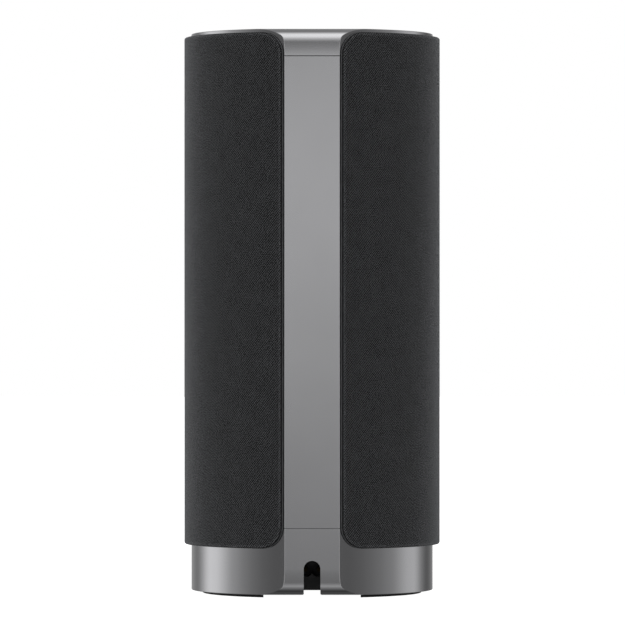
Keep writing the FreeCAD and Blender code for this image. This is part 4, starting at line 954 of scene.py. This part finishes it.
def build_screws(count):
    """The bottom plate's screws, set out by the ring tree and baked to one plain mesh."""
    screw = screw_shape()
    tree = ring_of_tree(screw, MATERIALS["screw_steel"])
    piece = bpy.data.objects.new("bottom_screws", bpy.data.meshes.new("bottom_screws"))
    bpy.context.scene.collection.objects.link(piece)
    modifier = piece.modifiers.new("ring", "NODES")
    modifier.node_group = tree
    values = {"Ring radius": SCREW_RING, "Count": count, "First turn": FIRST_SCREW,
              "Level": low("base_screws").z}
    for socket in tree.interface.items_tree:
        if socket.in_out == "INPUT":
            modifier[socket.identifier] = values[socket.name]
    apply_modifiers(piece)
    bpy.data.objects.remove(screw)
    place(piece, "column", "screw_steel", sharp=30.0)
    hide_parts("base_screws")


# ---------------------------------------------------------------- stage

# Studio light by degrees round from -Y: dim card, dark gap, tall soft box, front room.
LIGHT_ROUND = ((0, 0.2), (13, 0.9), (20, 1.0), (25, 0.2), (28, 0.175), (41, 0.2), (51, 0.25),
               (62, 0.34), (73, 0.47), (86, 0.7), (100, 1.15), (110, 1.27), (116, 1.25),
               (125, 0.84), (137, 0.38), (152, 0.34), (180, 0.5))
# Share of that light on the +X side, where the soft box stands farther off.
LIGHT_RIGHT = ((0, 1.0), (30, 1.0), (41, 0.97), (51, 0.92), (62, 0.85), (73, 0.78), (86, 0.7),
               (100, 0.655), (116, 0.64), (130, 0.55), (150, 0.62), (180, 1.0))
# Studio light by degrees up, straight behind the spine: floor, card, gap, overhead box.
LIGHT_UP = ((-83, 0.05), (-69, 0.1), (-56, 0.17), (-44, 0.28), (-32, 0.4), (-20, 0.54),
            (-13, 0.62), (-10.5, 0.5), (-9, 0.33), (-7, 0.26), (-5, 0.28), (-2.9, 0.33),
            (-1.4, 0.54), (0.0, 0.74), (1.2, 0.98), (2.7, 0.96), (3.6, 0.6), (4.4, 0.24),
            (5.2, 0.17), (6.2, 0.24), (8.6, 0.52), (10.3, 0.8), (12.0, 1.12), (16, 1.45),
            (27, 1.66), (40, 1.74), (52, 1.65), (65, 1.2), (79, 0.65), (90, 0.42))


def build_world(props):
    """A plain white surround with soft boxes that only lighting and reflections see."""
    world = bpy.data.worlds.new("Studio")
    world.use_nodes = True
    tree = world.node_tree
    tree.nodes.clear()
    where = add_node(tree, "ShaderNodeTexCoord")
    axes = add_node(tree, "ShaderNodeSeparateXYZ", links={0: where.outputs["Generated"]})
    sideways = add_node(tree, "ShaderNodeMath", {"operation": "ABSOLUTE"}, {0: axes.outputs[0]})
    rearward = add_node(tree, "ShaderNodeMath", {"operation": "MULTIPLY", 1: -1.0},
                        {0: axes.outputs[1]})
    bearing = add_node(tree, "ShaderNodeMath", {"operation": "ARCTAN2"},
                       {0: sideways, 1: rearward})
    round_turn = add_node(tree, "ShaderNodeMath", {"operation": "DEGREES"},
                          {0: bearing})
    climb = add_node(tree, "ShaderNodeMath", {"operation": "ARCSINE"}, {0: axes.outputs[2]})
    up_turn = add_node(tree, "ShaderNodeMath", {"operation": "DEGREES"},
                       {0: climb})

    around = ramp(tree, round_turn, 0, 180, LIGHT_ROUND)
    right_share = ramp(tree, round_turn, 0, 180, LIGHT_RIGHT)
    behind = ramp(tree, up_turn, -90, 90, LIGHT_UP)
    right_side = add_node(tree, "ShaderNodeMath", {"operation": "GREATER_THAN", 1: 0.0},
                          {0: axes.outputs[0]})
    right = add_node(tree, "ShaderNodeMath", {"operation": "MULTIPLY"},
                     {0: around, 1: right_share})

    # Each layer takes over the level below it where its share is 1: the +X side, the overhead
    # box, the floor, and the narrow band straight behind the spine.
    level = around
    soft = {"interpolation_type": "SMOOTHSTEP"}
    for share, settings, links in (
            (right_side, {}, {3: right}),
            (add_node(tree, "ShaderNodeMapRange", {**soft, 1: 14.0, 2: 34.0}, {0: up_turn}),
             {3: props.overhead_light}, {}),
            (add_node(tree, "ShaderNodeMapRange", {**soft, 1: -12.0, 2: -45.0}, {0: up_turn}),
             {3: props.floor_light}, {}),
            (add_node(tree, "ShaderNodeMapRange", {**soft, 1: 14.0, 2: 8.0}, {0: round_turn}),
             {}, {3: behind})):
        level = add_node(tree, "ShaderNodeMix", {"data_type": "FLOAT", **settings},
                         {0: share, 2: level, **links})
    strength = add_node(tree, "ShaderNodeMath", {"operation": "MULTIPLY", 1: props.room_light},
                        {0: level})
    seen = add_node(tree, "ShaderNodeLightPath")
    pale = add_node(tree, "ShaderNodeBackground", {0: WHITE, 1: 1.0})
    room = add_node(tree, "ShaderNodeBackground", {0: WHITE}, {1: strength})
    mix = add_node(tree, "ShaderNodeMixShader", links={
        0: seen.outputs["Is Camera Ray"], 1: room, 2: pale})
    add_node(tree, "ShaderNodeOutputWorld", links={0: mix})
    bpy.context.scene.world = world


def build_floor():
    """A plain pale floor, open to view from below and kept out of the metal's reflections."""
    side = 6.0
    drop = -0.1 * MM
    mesh = bpy.data.meshes.new("floor")
    mesh.from_pydata([(-side, -side, drop), (side, -side, drop), (side, side, drop),
                      (-side, side, drop)], [], [(0, 1, 2, 3)])
    floor = bpy.data.objects.new("floor", mesh)
    bpy.context.scene.collection.objects.link(floor)
    material, tree, shader = new_material("Pale studio floor")
    shader.inputs["Base Color"].default_value = (0.8, 0.8, 0.8, 1)
    shader.inputs["Roughness"].default_value = 0.9
    shader.inputs["Emission Color"].default_value = WHITE
    shader.inputs["Emission Strength"].default_value = 1.0
    output = tree.nodes["Material Output"]
    facing = add_node(tree, "ShaderNodeNewGeometry")
    clear = add_node(tree, "ShaderNodeBsdfTransparent")
    mix = add_node(tree, "ShaderNodeMixShader", links={
        0: facing.outputs["Backfacing"], 1: shader, 2: clear})
    tree.links.new(mix.outputs[0], output.inputs["Surface"])
    mesh.materials.append(material)
    floor.visible_glossy = False
    floor.visible_diffuse = False
    floor.visible_shadow = False


def build_camera():
    """The camera stands level with the column's middle, square to the spine."""
    stand_off = 2.6156
    camera = bpy.data.objects.new("camera", bpy.data.cameras.new("camera"))
    bpy.context.scene.collection.objects.link(camera)
    camera.location = (0, -stand_off, (BODY_LOW + BODY_HIGH) / 2)
    camera.rotation_euler = (math.radians(90), 0, 0)
    camera.data.sensor_width = 36.0
    camera.data.lens = 299.9
    camera.data.shift_x = 0.0007
    camera.data.shift_y = -0.00096
    camera.data.clip_start = 0.05
    camera.data.clip_end = 50
    bpy.context.scene.camera = camera


# ---------------------------------------------------------------- add-on

class SpeakerLooks(bpy.types.PropertyGroup):
    """Sizes, colours and light that a user would change."""
    weave_pitch: FloatProperty(name="Weave pitch", description="Width of one twill rib",
                               default=1.2 * MM, unit="LENGTH")
    cloth_dark: FloatVectorProperty(name="Cloth shade", description="Darkest yarn", subtype="COLOR",
                                    default=to_linear("#060606")[:3])
    cloth_light: FloatVectorProperty(name="Cloth light", description="Lightest yarn",
                                     subtype="COLOR", default=to_linear("#5c5d5f")[:3])
    metal_colour: FloatVectorProperty(name="Metal colour", description="Anodised column",
                                      subtype="COLOR", default=to_linear("#acacae")[:3])
    metal_roughness: FloatProperty(name="Metal roughness", description="Spread of the highlight",
                                   default=0.13, subtype="FACTOR")
    screw_count: IntProperty(name="Bottom screws", description="Screws in the bottom plate",
                             default=4)
    room_light: FloatProperty(name="Studio light", description="Strength of the soft boxes",
                              default=1.0)
    overhead_light: FloatProperty(name="Light overhead", description="Level straight above",
                                  default=0.42)
    floor_light: FloatProperty(name="Light from below", description="Level off the floor",
                               default=0.12)


class SPEAKER_OT_finishes(bpy.types.Operator):
    """Makes the finishes and puts them on the frame's nodes"""
    bl_idname = "speaker.finishes"
    bl_label = "Finishes"

    def execute(self, context):
        MATERIALS.update(make_materials(context.scene.speaker_looks))
        slots = {row["node"]: row["material_slot"] for row in RECORD["subparts"]}
        for name, node in NODES.items():
            node.data.materials.clear()
            node.data.materials.append(MATERIALS[slots[name]])
        return {"FINISHED"}


class SPEAKER_OT_column(bpy.types.Operator):
    """Builds the aluminium base, spine and cap"""
    bl_idname = "speaker.column"
    bl_label = "Aluminium column"

    def execute(self, context):
        build_base_ring()
        build_spine()
        build_top_rim()
        return {"FINISHED"}


class SPEAKER_OT_cover(bpy.types.Operator):
    """Builds the woven cover"""
    bl_idname = "speaker.cover"
    bl_label = "Woven cover"

    def execute(self, context):
        build_cover()
        return {"FINISHED"}


class SPEAKER_OT_controls(bpy.types.Operator):
    """Builds the control panel, its light ring and its keys"""
    bl_idname = "speaker.controls"
    bl_label = "Controls"

    def execute(self, context):
        build_control_panel()
        build_light_ring()
        build_buttons()
        return {"FINISHED"}


class SPEAKER_OT_underside(bpy.types.Operator):
    """Builds the foot, the bottom plate and its screws"""
    bl_idname = "speaker.underside"
    bl_label = "Underside"

    def execute(self, context):
        build_foot()
        build_base_plate()
        build_screws(context.scene.speaker_looks.screw_count)
        return {"FINISHED"}


class SPEAKER_OT_stage(bpy.types.Operator):
    """Builds the floor, the lights and the camera"""
    bl_idname = "speaker.stage"
    bl_label = "Stage"

    def execute(self, context):
        context.scene.view_settings.view_transform = "Standard"
        build_camera()
        build_world(context.scene.speaker_looks)
        build_floor()
        return {"FINISHED"}


OPERATORS = (SPEAKER_OT_stage, SPEAKER_OT_finishes, SPEAKER_OT_column, SPEAKER_OT_cover,
             SPEAKER_OT_controls, SPEAKER_OT_underside)


class SPEAKER_PT_panel(bpy.types.Panel):
    """Lists the speaker's sizes and pieces"""
    bl_idname = "SPEAKER_PT_panel"
    bl_label = "Speaker"
    bl_space_type = "VIEW_3D"
    bl_region_type = "UI"
    bl_category = "Speaker"

    def draw(self, context):
        looks = context.scene.speaker_looks
        for name in SpeakerLooks.__annotations__:
            self.layout.prop(looks, name)
        for operator in OPERATORS:
            self.layout.operator(operator.bl_idname)


CLASSES = (SpeakerLooks,) + OPERATORS + (SPEAKER_PT_panel,)


def register():
    for item in CLASSES:
        bpy.utils.register_class(item)
    bpy.types.Scene.speaker_looks = PointerProperty(type=SpeakerLooks)


def unregister():
    del bpy.types.Scene.speaker_looks
    for item in reversed(CLASSES):
        bpy.utils.unregister_class(item)


def main():
    register()
    for operator in OPERATORS:
        group, name = operator.bl_idname.split(".")
        getattr(getattr(bpy.ops, group), name)()


if __name__ == "__main__":
    main()
